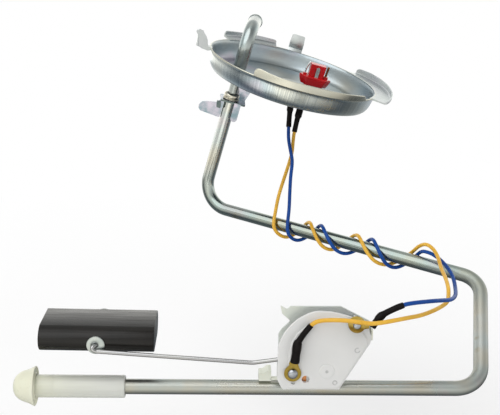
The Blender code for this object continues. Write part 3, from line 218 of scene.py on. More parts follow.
def sleeve_nylon():
    """The long sleeve: clear nylon, yellower near the head, with faint streaks along it."""
    material, tree, shader = new_material("sleeve_nylon")
    along = spread(tree, axes(tree, own_place(tree))["X"], 0.0, 1.0, -0.172, -0.12)
    base = ramp(tree, along, ((0.0, (0.74, 0.75, 0.60)), (0.5, (0.67, 0.68, 0.60)), (1.0, (0.66, 0.67, 0.62))))
    streaks = ramp(tree, cloud(tree, 300.0, 3.0, (0.06, 1.0, 1.0)), ((0.35, (0.92, 0.92, 0.93)), (0.65, 1.0)))
    feed(tree, shader, {
        "Base Color": blend(tree, base, streaks),
        "Roughness": spread(tree, cloud(tree, 200.0, 2.0, (0.1, 1.0, 1.0)), 0.2, 0.3),
    })
    soften(tree, shader, 0.3, (1.0, 0.95, 0.85))
    return material


ZINC_STOPS = ((0.32, (0.55, 0.53, 0.46)), (0.46, (0.53, 0.54, 0.51)), (0.58, (0.49, 0.54, 0.54)),
              (0.68, (0.53, 0.51, 0.53)), (0.74, (0.46, 0.40, 0.33)))
STAIN_COLOUR = (0.40, 0.34, 0.22, 1.0)
STAINS = (((0.1215, -0.1215, -0.1440), 0.0026), ((0.1110, -0.1505, -0.1580), 0.0022),
          ((0.1100, -0.1580, -0.1635), 0.0028))


def tube_metal():
    """The wide tube: plated steel with painted shade along its lower run, painted shade, greener, along its upper
    run and painted light up the rise, satin and stained at its right.
    """
    material = metal("tube_zinc", ZINC_STOPS, (0.0, 0.05), 34.0, 700.0, 0.0000004, 30.0, 0.95)
    tree = material.node_tree
    shader = tree.nodes["Principled BSDF"]
    colour, gloss = (shader.inputs[key].links[0].from_socket for key in ("Base Color", "Roughness"))
    place = own_place(tree)
    parts = axes(tree, place)
    # Painted shade and light by height: the lower run darker, the upper run darker and greener, the rise towards
    # the cup brighter
    colour = blend(tree, colour, ramp(tree, spread(tree, parts["Z"], 0.0, 1.0, -0.19, -0.05), (
        (0.0, (0.78, 0.77, 0.74)), (0.12, (0.78, 0.77, 0.74)), (0.22, 1.0), (0.30, 1.0),
        (0.45, (0.58, 0.63, 0.60)), (0.62, (0.58, 0.63, 0.60)), (0.80, (1.15, 1.15, 1.12)))))
    for spot, size in STAINS:
        near = spread(tree, measure(tree, "DISTANCE", place, spot), 1.0, 0.0, size * 0.4, size)
        ragged = maths(tree, "MULTIPLY", near, spread(tree, cloud(tree, 900.0), 0.1, 0.8))
        colour = blend(tree, colour, STAIN_COLOUR, ragged, "MIX")
    by_height = spread(tree, parts["Z"], 0.21, 0.11, -0.17, -0.10)
    by_side = ramp(tree, spread(tree, parts["X"], 0.0, 1.0, -0.15, 0.13),
                   ((0.0, 0.16), (0.25, 0.12), (0.38, 0.0), (0.80, 0.0), (0.93, 0.28)))
    gloss = maths(tree, "ADD", maths(tree, "ADD", gloss, by_height), by_side)
    feed(tree, shader, {"Base Color": colour, "Roughness": gloss})
    return material


def cup_metal():
    """The pressed cup: zinc whose tint shifts from cream to cyan and lilac, with painted light on its outside
    wall, brighter there in upright streaks.
    """
    material, tree, shader = new_material("cup_zinc")
    place = own_place(tree)
    tint = ramp(tree, cloud(tree, 20.0, 2.0), ((0.34, (0.43, 0.44, 0.41)), (0.46, (0.40, 0.44, 0.45)),
                                               (0.56, (0.36, 0.42, 0.46)), (0.68, (0.46, 0.41, 0.48))))
    lean = (math.radians(-8.0), math.radians(-15.0), 0.0)
    level = add(tree, "ShaderNodeMapping", {"Vector": place, "Rotation": lean})
    parts = axes(tree, level.outputs["Vector"])
    bearing = add(tree, "ShaderNodeCombineXYZ", {"X": maths(tree, "ARCTAN2", parts["Y"], parts["X"])}).outputs[0]
    marks = add(tree, "ShaderNodeTexNoise", {"Vector": bearing, "Scale": 60.0, "Detail": 2.0, "Roughness": 0.6})
    # Painted light: the outside wall is 1.3 to 2 times brighter than the inside, in upright streaks
    outside_painted_light = ramp(tree, marks.outputs["Fac"], ((0.36, (1.30, 1.31, 1.33)), (0.5, 1.68), (0.64, (2.0, 1.98, 1.92))))
    skin = add(tree, "ShaderNodeNewGeometry").outputs["Normal"]
    outside = spread(tree, measure(tree, "DOT_PRODUCT", skin, place), 0.0, 1.0, 0.045, 0.058)
    patches = cloud(tree, 60.0, 2.0)
    inner, outer = spread(tree, patches, 0.30, 0.38), spread(tree, patches, 0.22, 0.28)
    feed(tree, shader, {
        "Base Color": blend(tree, tint, outside_painted_light, outside),
        "Metallic": 1.0,
        "Roughness": add(tree, "ShaderNodeMix", {"Factor": outside, 2: inner, 3: outer}).outputs[0],
    })
    relief(tree, shader, cloud(tree, 60.0, 1.0), 0.3, 0.00005)
    return material


def pair(first, second):
    return ((0.35, first), (0.7, second))


LOOK = {
    "cup": cup_metal(),
    "lip": metal("lip_zinc", ((0.35, (0.60, 0.58, 0.49)), (0.6, (0.55, 0.56, 0.50)), (0.75, (0.50, 0.54, 0.53))),
                 (0.24, 0.32)),
    "tab": metal("tab_zinc", ((0.35, (0.50, 0.55, 0.53)), (0.55, (0.55, 0.57, 0.59)), (0.70, (0.60, 0.56, 0.65))),
                 (0.26, 0.34)),
    "tube": tube_metal(),
    "outlet": metal("outlet_zinc", ((0.35, (0.40, 0.42, 0.40)), (0.55, (0.38, 0.42, 0.42)),
                                    (0.72, (0.30, 0.41, 0.43))), (0.22, 0.28), 40.0),
    "ferrule": metal("ferrule_zinc", ((0.35, (0.56, 0.52, 0.42)), (0.65, (0.50, 0.51, 0.49))), (0.1, 0.16)),
    "bracket": metal("bracket_lilac", ((0.36, (0.22, 0.31, 0.35)), (0.5, (0.40, 0.42, 0.48)),
                                       (0.64, (0.56, 0.52, 0.60))), (0.12, 0.18), 130.0, wave=50.0),
    # Painted shade for the bracket's cut edges and its nub
    "edge": metal("painted_edge_shade", pair((0.10, 0.14, 0.14), (0.17, 0.20, 0.19)), (0.2, 0.3), 200.0),
    "plate": metal("plate_zinc", ((0.35, (0.72, 0.73, 0.64)), (0.55, (0.66, 0.70, 0.66)),
                                  (0.75, (0.64, 0.66, 0.68))), (0.44, 0.54), 26.0, metallic=0.6),
    "wire": metal("wire_zinc", ((0.4, 0.40), (0.7, (0.37, 0.37, 0.40))), (0.08, 0.13)),
    "washer": metal("washer_zinc", ((0.4, (0.40, 0.44, 0.43)), (0.7, (0.48, 0.50, 0.48))), (0.24, 0.34), 200.0),
    "rivet": metal("rivet_zinc", ((0.4, (0.40, 0.41, 0.43)), (0.7, (0.34, 0.36, 0.40))), (0.12, 0.2), 150.0),
    "brass": metal("ring_brass", ((0.35, (0.27, 0.19, 0.035)), (0.6, (0.35, 0.25, 0.06)),
                                  (0.8, (0.44, 0.31, 0.10))), (0.26, 0.36), 240.0),
    "copper": metal("strip_copper", pair((0.50, 0.20, 0.08), (0.62, 0.30, 0.14)), (0.25, 0.4), 200.0),
    "pin": metal("terminal_pin", pair((0.18, 0.08, 0.03), (0.36, 0.16, 0.06)), (0.25, 0.35), 300.0),
    "blade": metal("blade_zinc", pair((0.66, 0.68, 0.70), (0.72, 0.73, 0.74)), (0.14, 0.22), 200.0),
    "red": plastic("red_moulding", (0.46, 0.001, 0.004), (0.56, 0.003, 0.009), (0.16, 0.24), coat=0.15,
                   shine=0.35),
    "blue": plastic("blue_insulation", (0.004, 0.050, 0.25), (0.007, 0.068, 0.31), (0.34, 0.45), shine=0.18),
    "yellow": plastic("yellow_insulation", (0.68, 0.37, 0.03), (0.80, 0.47, 0.06), (0.3, 0.42), shine=0.3),
    "shrink": plastic("shrink_tube", (0.004, 0.003, 0.003), (0.009, 0.007, 0.007), (0.36, 0.5), 300.0, 900.0,
                      0.00005, 0.3, shine=0.09),
    "nylon": plastic("housing_nylon", (0.66, 0.66, 0.645), (0.70, 0.70, 0.685), (0.34, 0.46), 40.0, soft=0.1,
                     shine=0.4),
    # Painted shade: the mould marks and the boss's dot are darker than the cover
    "mark": plastic("painted_mark_shade", (0.46, 0.46, 0.45), (0.54, 0.54, 0.53), (0.4, 0.5), 400.0),
    "cream": plastic("head_nylon", (0.70, 0.70, 0.53), (0.74, 0.74, 0.60), (0.26, 0.38), 26.0, soft=0.15),
    "sleeve": sleeve_nylon(),
    "clip": plastic("clip_nylon", (0.66, 0.69, 0.58), (0.74, 0.75, 0.66), (0.34, 0.46), soft=0.15),
    "hub": plastic("hub_nylon", 0.05, 0.08, (0.4, 0.5)),
    "board": plastic("card_board", (0.20, 0.10, 0.04), (0.28, 0.16, 0.07), (0.5, 0.65)),
    "foam": plastic("float_foam", (0.0025, 0.0018, 0.0014), (0.006, 0.0042, 0.003), (0.22, 0.42), 90.0, 2400.0,
                    0.00003, 0.3, shine=0.32, stretch=(0.04, 1.0, 1.0)),
}


def dress(node, look):
    """Puts a look in every material slot of a CAD solid."""
    if len(node.material_slots) == 0:
        node.data.materials.append(LOOK[look])
    for slot in node.material_slots:
        slot.material = LOOK[look]


# Shapes, with all sizes in millimetres
def smoothed(mesh, degrees=35.0):
    for polygon in mesh.polygons:
        polygon.use_smooth = True
    mesh.set_sharp_from_angle(angle=math.radians(degrees))
    return mesh


def baked(work, smooth):
    mesh = bpy.data.meshes.new("shape")
    work.to_mesh(mesh)
    work.free()
    return smoothed(mesh, smooth)


def finish_mesh(work, smooth=35.0):
    bmesh.ops.remove_doubles(work, verts=work.verts, dist=WELD)
    bmesh.ops.recalc_face_normals(work, faces=work.faces)
    return baked(work, smooth)


def merged(meshes, smooth=35.0):
    """Several meshes as one piece."""
    work = bmesh.new()
    for mesh in meshes:
        work.from_mesh(mesh)
        bpy.data.meshes.remove(mesh)
    return baked(work, smooth)


def evaluated(item):
    """A new mesh of an object as its curve or its modifiers shape it."""
    bpy.context.view_layer.update()
    return bpy.data.meshes.new_from_object(item.evaluated_get(bpy.context.evaluated_depsgraph_get()))


def piece(name, mesh, look, *nodes, matrix=None, bevel=0.0, body="frame"):
    """Puts a finished mesh in the scene on its body, in the place of the CAD node named, if any."""
    if matrix is not None:
        mesh.transform(matrix)
    mesh.name = name
    item = placed(name, mesh)
    mesh.materials.append(LOOK[look])
    if bevel:
        edge = item.modifiers.new("edge", "BEVEL")
        edge.width = bevel * MM
        edge.segments = 2
        edge.limit_method = "ANGLE"
        edge.angle_limit = math.radians(40.0)
        edge.harden_normals = False
    bpy.context.view_layer.update()
    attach(item, body)
    if nodes:
        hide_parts(*nodes)
    for node in nodes:
        dress(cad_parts[node], look)
    return item


def bridge(work, sections, closed=False):
    """Rows of vertices with faces between each row and the next; a row of one vertex is a pole."""
    rows = [[work.verts.new(scaled(point)) for point in section] for section in sections]
    for first, second in zip(rows, rows[1:] + rows[:1] if closed else rows[1:]):
        count = max(len(first), len(second))
        for step in range(count):
            after = (step + 1) % count
            corners = (first[step % len(first)], first[after % len(first)],
                       second[after % len(second)], second[step % len(second)])
            unique = list(dict.fromkeys(corners))
            if len(unique) > 2:
                work.faces.new(unique)
    return rows


def turned(profile, steps=96, closed=True):
    """A shape turned about Z from (radius, height) points."""
    sections = []
    for radius, height in profile:
        angles = [2 * math.pi * step / steps for step in range(steps if radius else 1)]
        sections.append([(radius * math.cos(angle), radius * math.sin(angle), height) for angle in angles])
    work = bmesh.new()
    bridge(work, sections, closed)
    return finish_mesh(work)


def loft(sections, smooth=35.0):
    """A closed surface through sections of equal point count, with both ends filled."""
    work = bmesh.new()
    rows = bridge(work, sections)
    work.faces.new(list(reversed(rows[0])))
    work.faces.new(rows[-1])
    return finish_mesh(work, smooth)


def tube(points, radii, sides=24, bore=None, smooth=50.0):
    """A round rod along points, or a tube where bore gives the inner radii; the frame is carried along."""
    points = [Vector(point) for point in points]
    last = len(points) - 1
    side = (points[1] - points[0]).normalized().orthogonal().normalized()
    frames = []
    for index, point in enumerate(points):
        along = (points[min(last, index + 1)] - points[max(0, index - 1)]).normalized()
        side = (side - along * side.dot(along)).normalized()
        frames.append((point, side, along.cross(side)))

    def rings(widths):
        angles = [2 * math.pi * step / sides for step in range(sides)]
        widths = widths if isinstance(widths, list) else [widths] * len(points)
        return [[point + (first * math.cos(angle) + second * math.sin(angle)) * width for angle in angles]
                for (point, first, second), width in zip(frames, widths)]

    if bore is None:
        return loft(rings(radii), smooth)
    work = bmesh.new()
    bridge(work, rings(radii) + rings(bore)[::-1], True)
    return finish_mesh(work, smooth)


def rounded(corners, radius=0.3, steps=3):
    """An outline with its corners rounded: each corner is (x, y) or (x, y, radius)."""
    result = []
    for index, corner in enumerate(corners):
        following = corners[(index + 1) % len(corners)]
        before, here, after = (Vector(each[:2]) for each in (corners[index - 1], corner, following))
        size = corner[2] if len(corner) > 2 else radius
        back = before - here
        ahead = after - here
        flat = size <= 0.0 or back.length < 0.001 or ahead.length < 0.001
        half = math.pi if flat else back.angle(ahead) / 2
        if half > math.radians(86.0):
            result.append(tuple(here))
            continue
        reach = min(size / math.tan(half), back.length * 0.49, ahead.length * 0.49)
        start = here + back.normalized() * reach
        end = here + ahead.normalized() * reach
        for step in range(steps + 1):
            share = step / steps
            point = start * (1 - share) ** 2 + here * 2 * share * (1 - share) + end * share ** 2
            result.append(tuple(point))
    return result


def sheet_outline(centre, thickness, rounding):
    """The outline of a bent sheet, given the (r, z) points of its middle, with its outer end rounded."""
    points = [Vector(point) for point in centre]
    half = thickness / 2
    left, right = [], []
    for index, point in enumerate(points):
        along = (points[min(len(points) - 1, index + 1)] - points[max(0, index - 1)]).normalized()
        side = Vector((-along.y, along.x)) * half
        left.append(point + side)
        right.append(point - side)
    for step in range(1, rounding):
        angle = math.pi * step / rounding
        left.append(points[-1] + side * math.cos(angle) + along * half * math.sin(angle))
    return [tuple(point) for point in left + right[::-1]]


def smooth_line(points, parts=5):
    """A smooth line through points of any number of axes."""
    points = [Vector(point) for point in points]
    ends = [points[0] * 2 - points[1]] + points + [points[-1] * 2 - points[-2]]
    line = []
    for a, b, c, d in zip(ends, ends[1:], ends[2:], ends[3:]):
        for index in range(parts):
            t = index / parts
            value = 2 * b + (c - a) * t + (2 * a - 5 * b + 4 * c - d) * t * t
            value += (3 * b - a - 3 * c + d) * t * t * t
            line.append(value / 2)
    line.append(points[-1])
    return line


def filleted(points, radius, steps=8):
    """A path of straight runs with a bend of the given radius at each corner."""
    path = [Vector(points[0])]
    for before, corner, after in zip(points, points[1:], points[2:]):
        corner = Vector(corner)
        back = (Vector(before) - corner).normalized()
        ahead = (Vector(after) - corner).normalized()
        half = back.angle(ahead) / 2
        reach = radius / math.tan(half)
        centre = corner + (back + ahead).normalized() * (radius / math.sin(half))
        start = corner + back * reach - centre
        end = corner + ahead * reach - centre
        sweep = start.angle(end)
        for step in range(steps + 1):
            share = step / steps
            first = math.sin((1.0 - share) * sweep) / math.sin(sweep)
            second = math.sin(share * sweep) / math.sin(sweep)
            path.append(centre + start * first + end * second)
    path.append(Vector(points[-1]))
    return path


def spaced(points, step):
    """The same path with no gap between points longer than the step."""
    path = []
    for before, after in zip(points, points[1:]):
        count = max(1, math.ceil((after - before).length / step))
        path += [before.lerp(after, index / count) for index in range(count)]
    return path + [points[-1]]


def arc(radius, start, end, steps, centre=(0.0, 0.0)):
    angles = [math.radians(start + (end - start) * step / steps) for step in range(steps + 1)]
    return [(centre[0] + radius * math.cos(angle), centre[1] + radius * math.sin(angle)) for angle in angles]


def circle(radius, steps, centre=(0.0, 0.0)):
    return arc(radius, 0.0, 360.0, steps, centre)[:-1]


def plate(loops, thickness, matrix=Matrix.Identity(4)):
    """A flat outline with holes, given its thickness and put in place by a matrix."""
    curve = bpy.data.curves.new("outline", "CURVE")
    curve.dimensions = "2D"
    curve.fill_mode = "BOTH"
    curve.extrude = thickness * MM / 2
    for loop in loops:
        spline = curve.splines.new("POLY")
        spline.points.add(len(loop) - 1)
        for point, corner in zip(spline.points, loop):
            point.co = (corner[0] * MM, corner[1] * MM, 0.0, 1.0)
        spline.use_cyclic_u = True
    item = placed("outline", curve)
    mesh = evaluated(item)
    bpy.data.objects.remove(item, do_unlink=True)
    bpy.data.curves.remove(curve)
    mesh.transform(matrix)
    work = bmesh.new()
    work.from_mesh(mesh)
    bpy.data.meshes.remove(mesh)
    return finish_mesh(work)


def upright(front_y, thickness):
    return shift(y=front_y + thickness / 2) @ UPRIGHT


def block(low, high):
    work = bmesh.new()
    bmesh.ops.create_cube(work, size=1.0)
    size = Vector(high) - Vector(low)
    middle = (Vector(high) + Vector(low)) / 2
    matrix = shift(*middle) @ Matrix.Diagonal((*(size * MM), 1.0))
    bmesh.ops.transform(work, matrix=matrix, verts=work.verts)
    return finish_mesh(work)


def bored(mesh, holes):
    """The mesh with round holes along Y cut through it: each hole is (x, z, radius, front, back)."""
    items = [placed("bored", mesh)]
    for x, z, radius, front, back in holes:
        items.append(placed("cutter", tube([(x, front, z), (x, back, z)], radius, 48)))
        modifier = items[0].modifiers.new("hole", "BOOLEAN")
        modifier.operation = "DIFFERENCE"
        modifier.solver = "EXACT"
        modifier.use_self = True
        modifier.object = items[-1]
    result = evaluated(items[0])
    for item in items:
        bpy.data.objects.remove(item, do_unlink=True)
    return smoothed(result)


# Flange
def on_cup(degrees, reach, across, height):
    """A point at a bearing on the cup, some way outward and sideways."""
    angle = math.radians(degrees)
    out = Vector((math.cos(angle), math.sin(angle), 0.0))
    side = Vector((-out.y, out.x, 0.0))
    point = out * reach + side * across
    return (point.x, point.y, height)


def lip(start, end, steps, outline_at):
    """A lip swept round the cup between two bearings, with an outline for each share of the way."""
    sections = []
    for step in range(steps + 1):
        share = step / steps
        angle = math.radians(start + (end - start) * share)
        sections.append([(r * math.cos(angle), r * math.sin(angle), z) for r, z in outline_at(share)])
    return loft(sections)


def front_lip(share):
    top = 6.8 - 3.2 * share - 1.3 * math.exp(-((share - 0.20) / 0.20) ** 2)
    if share < 0.05:
        top -= 2.6 * (1.0 - math.sqrt(max(0.0, 1.0 - (1.0 - share / 0.05) ** 2)))
    if share > 0.96:
        top -= 2.2 * ((share - 0.96) / 0.04) ** 2
    face = 66.6
    corners = [(63.5, -0.9, 0.2), (face - 1.0, -0.95, 0.3), (face, -0.1, 0.5), (face, top, 0.5),
               (face - 1.15, top, 0.5), (face - 1.2, 1.2, 0.5), (face - 1.9, 0.2, 0.3), (63.5, 0.1, 0.2)]
    return rounded(corners, steps=4)


def between(values, share):
    place = share * (len(values) - 1)
    first = min(int(place), len(values) - 2)
    return values[first] + (values[first + 1] - values[first]) * (place - first)


def locking_lip(bases, tops, outer, fade=0.05):
    """The outline of a lip that stands out from the rim, lower towards both of its ends."""
    def outline(share):
        base = between(bases, share)
        top = between(tops, share)
        low = min(share, 1.0 - share)
        if low < fade:
            top -= (top - base - 0.9) * 0.45 * (1.0 - math.sqrt(max(0.0, 1.0 - (1.0 - low / fade) ** 2)))
        corners = [(63.4, -1.0, 0.1), (64.6, -1.05, 0.4), (outer - 1.6, base - 1.2, 0.6),
                   (outer + 0.1, base - 0.9, 0.9), (outer + 0.35, base + 0.6, 0.5), (outer + 0.35, top, 0.5),
                   (outer - 0.8, top, 0.5), (outer - 0.8, base + 0.5, 0.6), (outer - 2.0, base, 0.5),
                   (64.9, 0.05, 0.4), (63.4, 0.05, 0.1)]
        return rounded(corners)
    return outline


BOWL = [(0.001, -13.2), (20.0, -13.2), (40.0, -13.2), (49.4, -13.2), (50.9, -13.35), (52.2, -13.8), (53.6, -14.3),
        (55.0, -14.4), (57.6, -14.35), (59.3, -13.8), (60.6, -12.6), (61.6, -10.8), (62.3, -8.6), (62.8, -6.2),
        (63.15, -4.0), (63.4, -2.5), (63.7, -1.5), (64.1, -0.85), (64.55, -0.45)]
TONGUE = ((63.5, -1.0), (64.4, 0.2), (65.2, 1.6), (65.5, 2.2), (65.2, 2.9), (65.0, 3.6), (65.2, 6.5), (65.5, 12.6),
          (65.6, 13.3))
HOOK = [(64.1, -1.3), (67.0, -2.2, 1.5), (71.5, -1.6, 3.0), (74.5, -0.4, 1.5), (75.6, 3.0, 3.0), (76.8, 7.5, 2.0),
        (78.5, 9.5, 1.0), (78.3, 10.9, 0.7), (76.6, 11.8, 1.0), (73.4, 11.35, 0.8), (72.4, 9.8, 0.8),
        (70.4, 7.8, 1.5), (68.9, 5.4, 1.5), (67.4, 0.9, 1.5), (64.6, 0.2, 0.3)]
HOOK_MIDDLE = Vector((72.0, 4.2))
RIGHT_BASES = (0.3, 0.2, 0.2, 0.1, -0.2, -0.6, -1.0)
RIGHT_TOPS = (1.5, 2.7, 3.7, 4.3, 4.6, 4.5, 3.2)


def make_cup():
    """The pressed cup with its rounded rim, its lips, the tall tongue and the hooked stop plate: one sheet."""
    bowl = turned(sheet_outline(BOWL, 1.18, 6), 160)
    tongue = []
    for reach, height in TONGUE:
        half = 5.8 if height < 12.0 else 5.3 if height < 13.0 else 4.6
        outline = rounded([(-half, 0.0), (half, 0.0), (half, 1.2), (-half, 1.2)], 0.35, 2)
        tongue.append([on_cup(85.4, reach + deep, across, height) for across, deep in outline])
    stop = []
    for across, shrink in ((-0.2, 0.2), (0.0, 0.0), (1.0, 0.0), (1.2, 0.2)):
        section = []
        for corner in rounded(HOOK, 0.5, 4):
            flat = Vector(corner)
            flat += (HOOK_MIDDLE - flat).normalized() * shrink
            section.append(on_cup(187.0, flat.x, across, flat.y))
        stop.append(section)
    meshes = [
        (bowl, 0),
        (lip(-120.0, -40.0, 90, front_lip), 1),
        (lip(-27.5, 42.0, 84, locking_lip(RIGHT_BASES, RIGHT_TOPS, 76.5)), 2),
        (lip(99.0, 141.0, 48, locking_lip((1.4, 1.4), (4.2, 5.4), 69.9)), 2),
        (lip(180.5, 187.0, 10, locking_lip((0.4, 0.2), (7.6, 8.4), 75.8)), 2),
        (loft(tongue), 2),
        (loft(stop), 2),
    ]
    for mesh, slot in meshes:
        for polygon in mesh.polygons:
            polygon.material_index = slot
    for polygon in bowl.polygons:
        if math.hypot(polygon.center.x, polygon.center.y) > 0.0640 and polygon.center.z > -0.0013:
            polygon.material_index = 1
    item = piece("flange_pressing", merged([mesh for mesh, _ in meshes], 40.0), "cup", "flange", matrix=FLANGE)
    item.data.materials.append(LOOK["lip"])
    item.data.materials.append(LOOK["tab"])


OUTLET_RADIUS = 3.7
BEAD = ((6.2, 1.38), (5.4, 1.385), (5.0, 1.42), (4.6, 1.51), (4.2, 1.54), (3.6, 1.54), (3.2, 1.51), (2.9, 1.43),
        (2.5, 1.39), (0.4, 1.38), (0.1, 1.34), (0.0, 1.30))


def make_outlet():
    """The thin outlet, wider above the cup's floor, with a bead at its open end."""
    corners = [(TUBE_X, TUBE_Y, -33.9), (TUBE_X, TUBE_Y, 20.0), (TUBE_X + 5.0, TUBE_Y + 39.0, 20.7)]
    path = spaced(filleted(corners, 16.0, 24), 1.5)
    end = path[-1]
    run = (end - path[-2]).normalized()
    path = [point for point in path if (point - end).length > 6.6]
    radii = []
    for point in path:
        rise = min(1.0, max(0.0, (point.z + 12.3) / 2.9))
        radii.append(OUTLET_RADIUS * (0.97 + 0.41 * rise * rise * (3.0 - 2.0 * rise)))
    for back, wide in BEAD:
        path.append(end - run * back)
        radii.append(OUTLET_RADIUS * wide)
    bore = [radius - 0.75 for radius in radii]
    bore[-10:] = [4.4] * 10
    piece("outlet_pipe", tube(path, radii, 48, bore), "outlet", "outlet_tube", matrix=FLANGE)


def make_collar():
    profile = [(4.02, -29.3), (4.7, -29.3), (5.1, -29.5), (5.45, -29.9), (5.75, -30.3), (5.9, -30.8), (5.9, -32.2),
               (5.8, -32.6), (5.55, -32.85), (5.55, -33.1), (5.8, -33.3), (6.15, -33.4), (6.3, -33.6),
               (6.3, -33.9), (6.1, -34.1), (5.6, -34.1), (4.02, -34.1)]
    mesh = turned(profile, 72)
    mesh.transform(shift(TUBE_X, TUBE_Y))
    piece("ferrule", mesh, "ferrule", "tube_collar", matrix=FLANGE)


def run_height(x):
    return RUN_Z - RUN_SLOPE * x


UPPER_START = flange_point(TUBE_X, TUBE_Y, -121.6)
UPPER_END = Vector((122.7, -107.4, -132.0))


def make_tube():
    corners = [flange_point(TUBE_X, TUBE_Y, -36.3), UPPER_START, UPPER_END]
    corners += [Vector((x, RUN_Y, run_height(x))) for x in (108.2, -160.0)]
    path = spaced(filleted(corners, 19.0, 18), 6.0)
    piece("pickup_line", tube(path, TUBE_RADIUS - 0.04, 48, TUBE_RADIUS - 0.9), "tube", "pickup_tube")


def make_bracket():
    """The bracket's level plate, leg, hanging tongue, ear and small nub."""
    level = rounded([(-47.2, -11.5), (-29.2, -11.5), (-28.4, -10.5), (-28.4, 3.6), (-31.0, 5.4), (-46.4, 5.4),
                     (-47.6, 4.2)], 1.4, 5)
    leg = rounded([(-37.6, -15.3, 0.0), (-25.4, -15.3, 0.0), (-25.4, -26.0), (-28.4, -35.7), (-33.6, -35.7),
                   (-37.6, -23.0)], 1.5, 5)
    tongue = [(-36.6, -34.9), (-31.6, -34.9), (-31.6, -46.0)] + arc(2.5, 0.0, -180.0, 16, (-34.1, -46.8))
    tongue += [(-36.6, -46.0)]
    ear = rounded([(-44.2, -34.8), (-46.6, -35.2), (-49.1, -38.9), (-56.6, -40.2), (-60.1, -41.4), (-61.9, -43.8),
                   (-61.6, -46.6), (-59.9, -48.4), (-44.6, -49.9), (-44.2, -47.0)], 1.0, 4)
    nub = rounded([(-49.8, -37.0), (-46.2, -37.6), (-45.6, -42.2), (-48.8, -42.2)], 0.8, 4)
    meshes = [plate([level, circle(4.05, 40, (TUBE_X, TUBE_Y))], 1.3, shift(z=-35.15))]
    for outline, thickness, y in ((leg, 1.3, 4.4), (tongue, 1.3, -10.9), (ear, 1.3, -5.9), (nub, 2.4, -7.6)):
        meshes.append(plate([outline], thickness, shift(y=y) @ UPRIGHT))
    # Painted shade: cut edges are darker than faces, except on the ear, and the nub is painted dark all over
    for mesh, axis in zip(meshes[:3], (2, 1, 1)):
        for polygon in mesh.polygons:
            polygon.material_index = int(abs(polygon.normal[axis]) < 0.7)
    for polygon in meshes[4].polygons:
        polygon.material_index = 1
    item = piece("bracket_plate", merged(meshes), "bracket", "tube_bracket", matrix=FLANGE, bevel=0.3)
    item.data.materials.append(LOOK["edge"])


def make_block():
    """The red terminal block: a boat-shaped flange on a foot, and the upright body with its three wells."""
    sections = []
    for height, grow in ((-7.6, -0.9), (-7.2, -0.5), (-6.2, 0.1), (-4.6, 0.8), (-3.2, 1.25), (-2.2, 1.5),
                         (-1.4, 1.6), (-1.05, 1.45), (-0.9, 1.1)):
        low_x, high_x = 6.2 - grow, 27.6 + grow
        low_y, high_y = -9.4 - grow * 0.6, 1.4 + grow * 0.6
        middle = (low_y + high_y) / 2
        hull = [(low_x, middle, 0.8), (low_x + 4.6, low_y, 2.2), (high_x - 4.6, low_y, 2.2),
                (high_x, middle, 0.8), (high_x - 4.6, high_y, 2.2), (low_x + 4.6, high_y, 2.2)]
        sections.append([(x, y, height) for x, y in rounded(hull, steps=6)])
    meshes = [loft(sections, 40.0)]
    for low, high, corners, radius in (
        (-12.3, -7.2, [(10.2, -8.6), (23.6, -8.6), (23.6, 0.6), (10.2, 0.6)], 1.2),
        (-1.2, 8.4, [(11.2, -7.2), (15.0, -7.2), (15.0, -6.9), (19.2, -6.9), (19.2, -7.2), (22.6, -7.2),
                     (22.6, 0.2), (11.2, 0.2)], 0.25),
        (-1.2, 0.4, [(7.2, -5.8), (10.2, -5.8), (10.2, -2.2), (7.2, -2.2)], 0.7),
        (-1.2, 1.0, [(23.0, -5.8), (26.2, -5.8), (26.2, -2.2), (23.0, -2.2)], 0.7),
    ):
        meshes.append(plate([rounded(corners, radius)], high - low, shift(z=(low + high) / 2)))
    piece("terminal_block", merged(meshes), "red", "connector_body", matrix=FLANGE, bevel=0.3)


def make_blades():
    blade = [(15.8, -1.1), (18.4, -1.1)] + arc(1.3, 0.0, 180.0, 16, (17.1, 5.6))
    middle = plate([blade], 0.6, shift(y=-7.6) @ UPRIGHT)
    piece("blade_middle", middle, "blade", "terminal_middle", matrix=FLANGE, bevel=0.12)
    curved = smooth_line([(8.6, -4.0, -4.1), (8.5, -4.0, 1.0), (8.9, -4.0, 5.0), (9.8, -4.0, 8.0),
                          (10.6, -4.0, 9.0)], 6)
    piece("blade_left", tube(curved, 0.6, 16), "blade", "terminal_left", matrix=FLANGE)
    pin = smooth_line([(24.4, -4.0, -4.1), (24.4, -4.0, 1.0), (24.6, -4.0, 5.0), (24.8, -4.0, 8.3)], 6)
    pin.append(pin[-1] + Vector((0.0, 0.0, 0.2)))
    pin.append(pin[-1] + Vector((0.0, 0.0, 0.08)))
    radii = [0.85] * (len(pin) - 2) + [0.7, 0.35]
    piece("blade_right", tube(pin, radii, 20), "pin", "terminal_right", matrix=FLANGE)


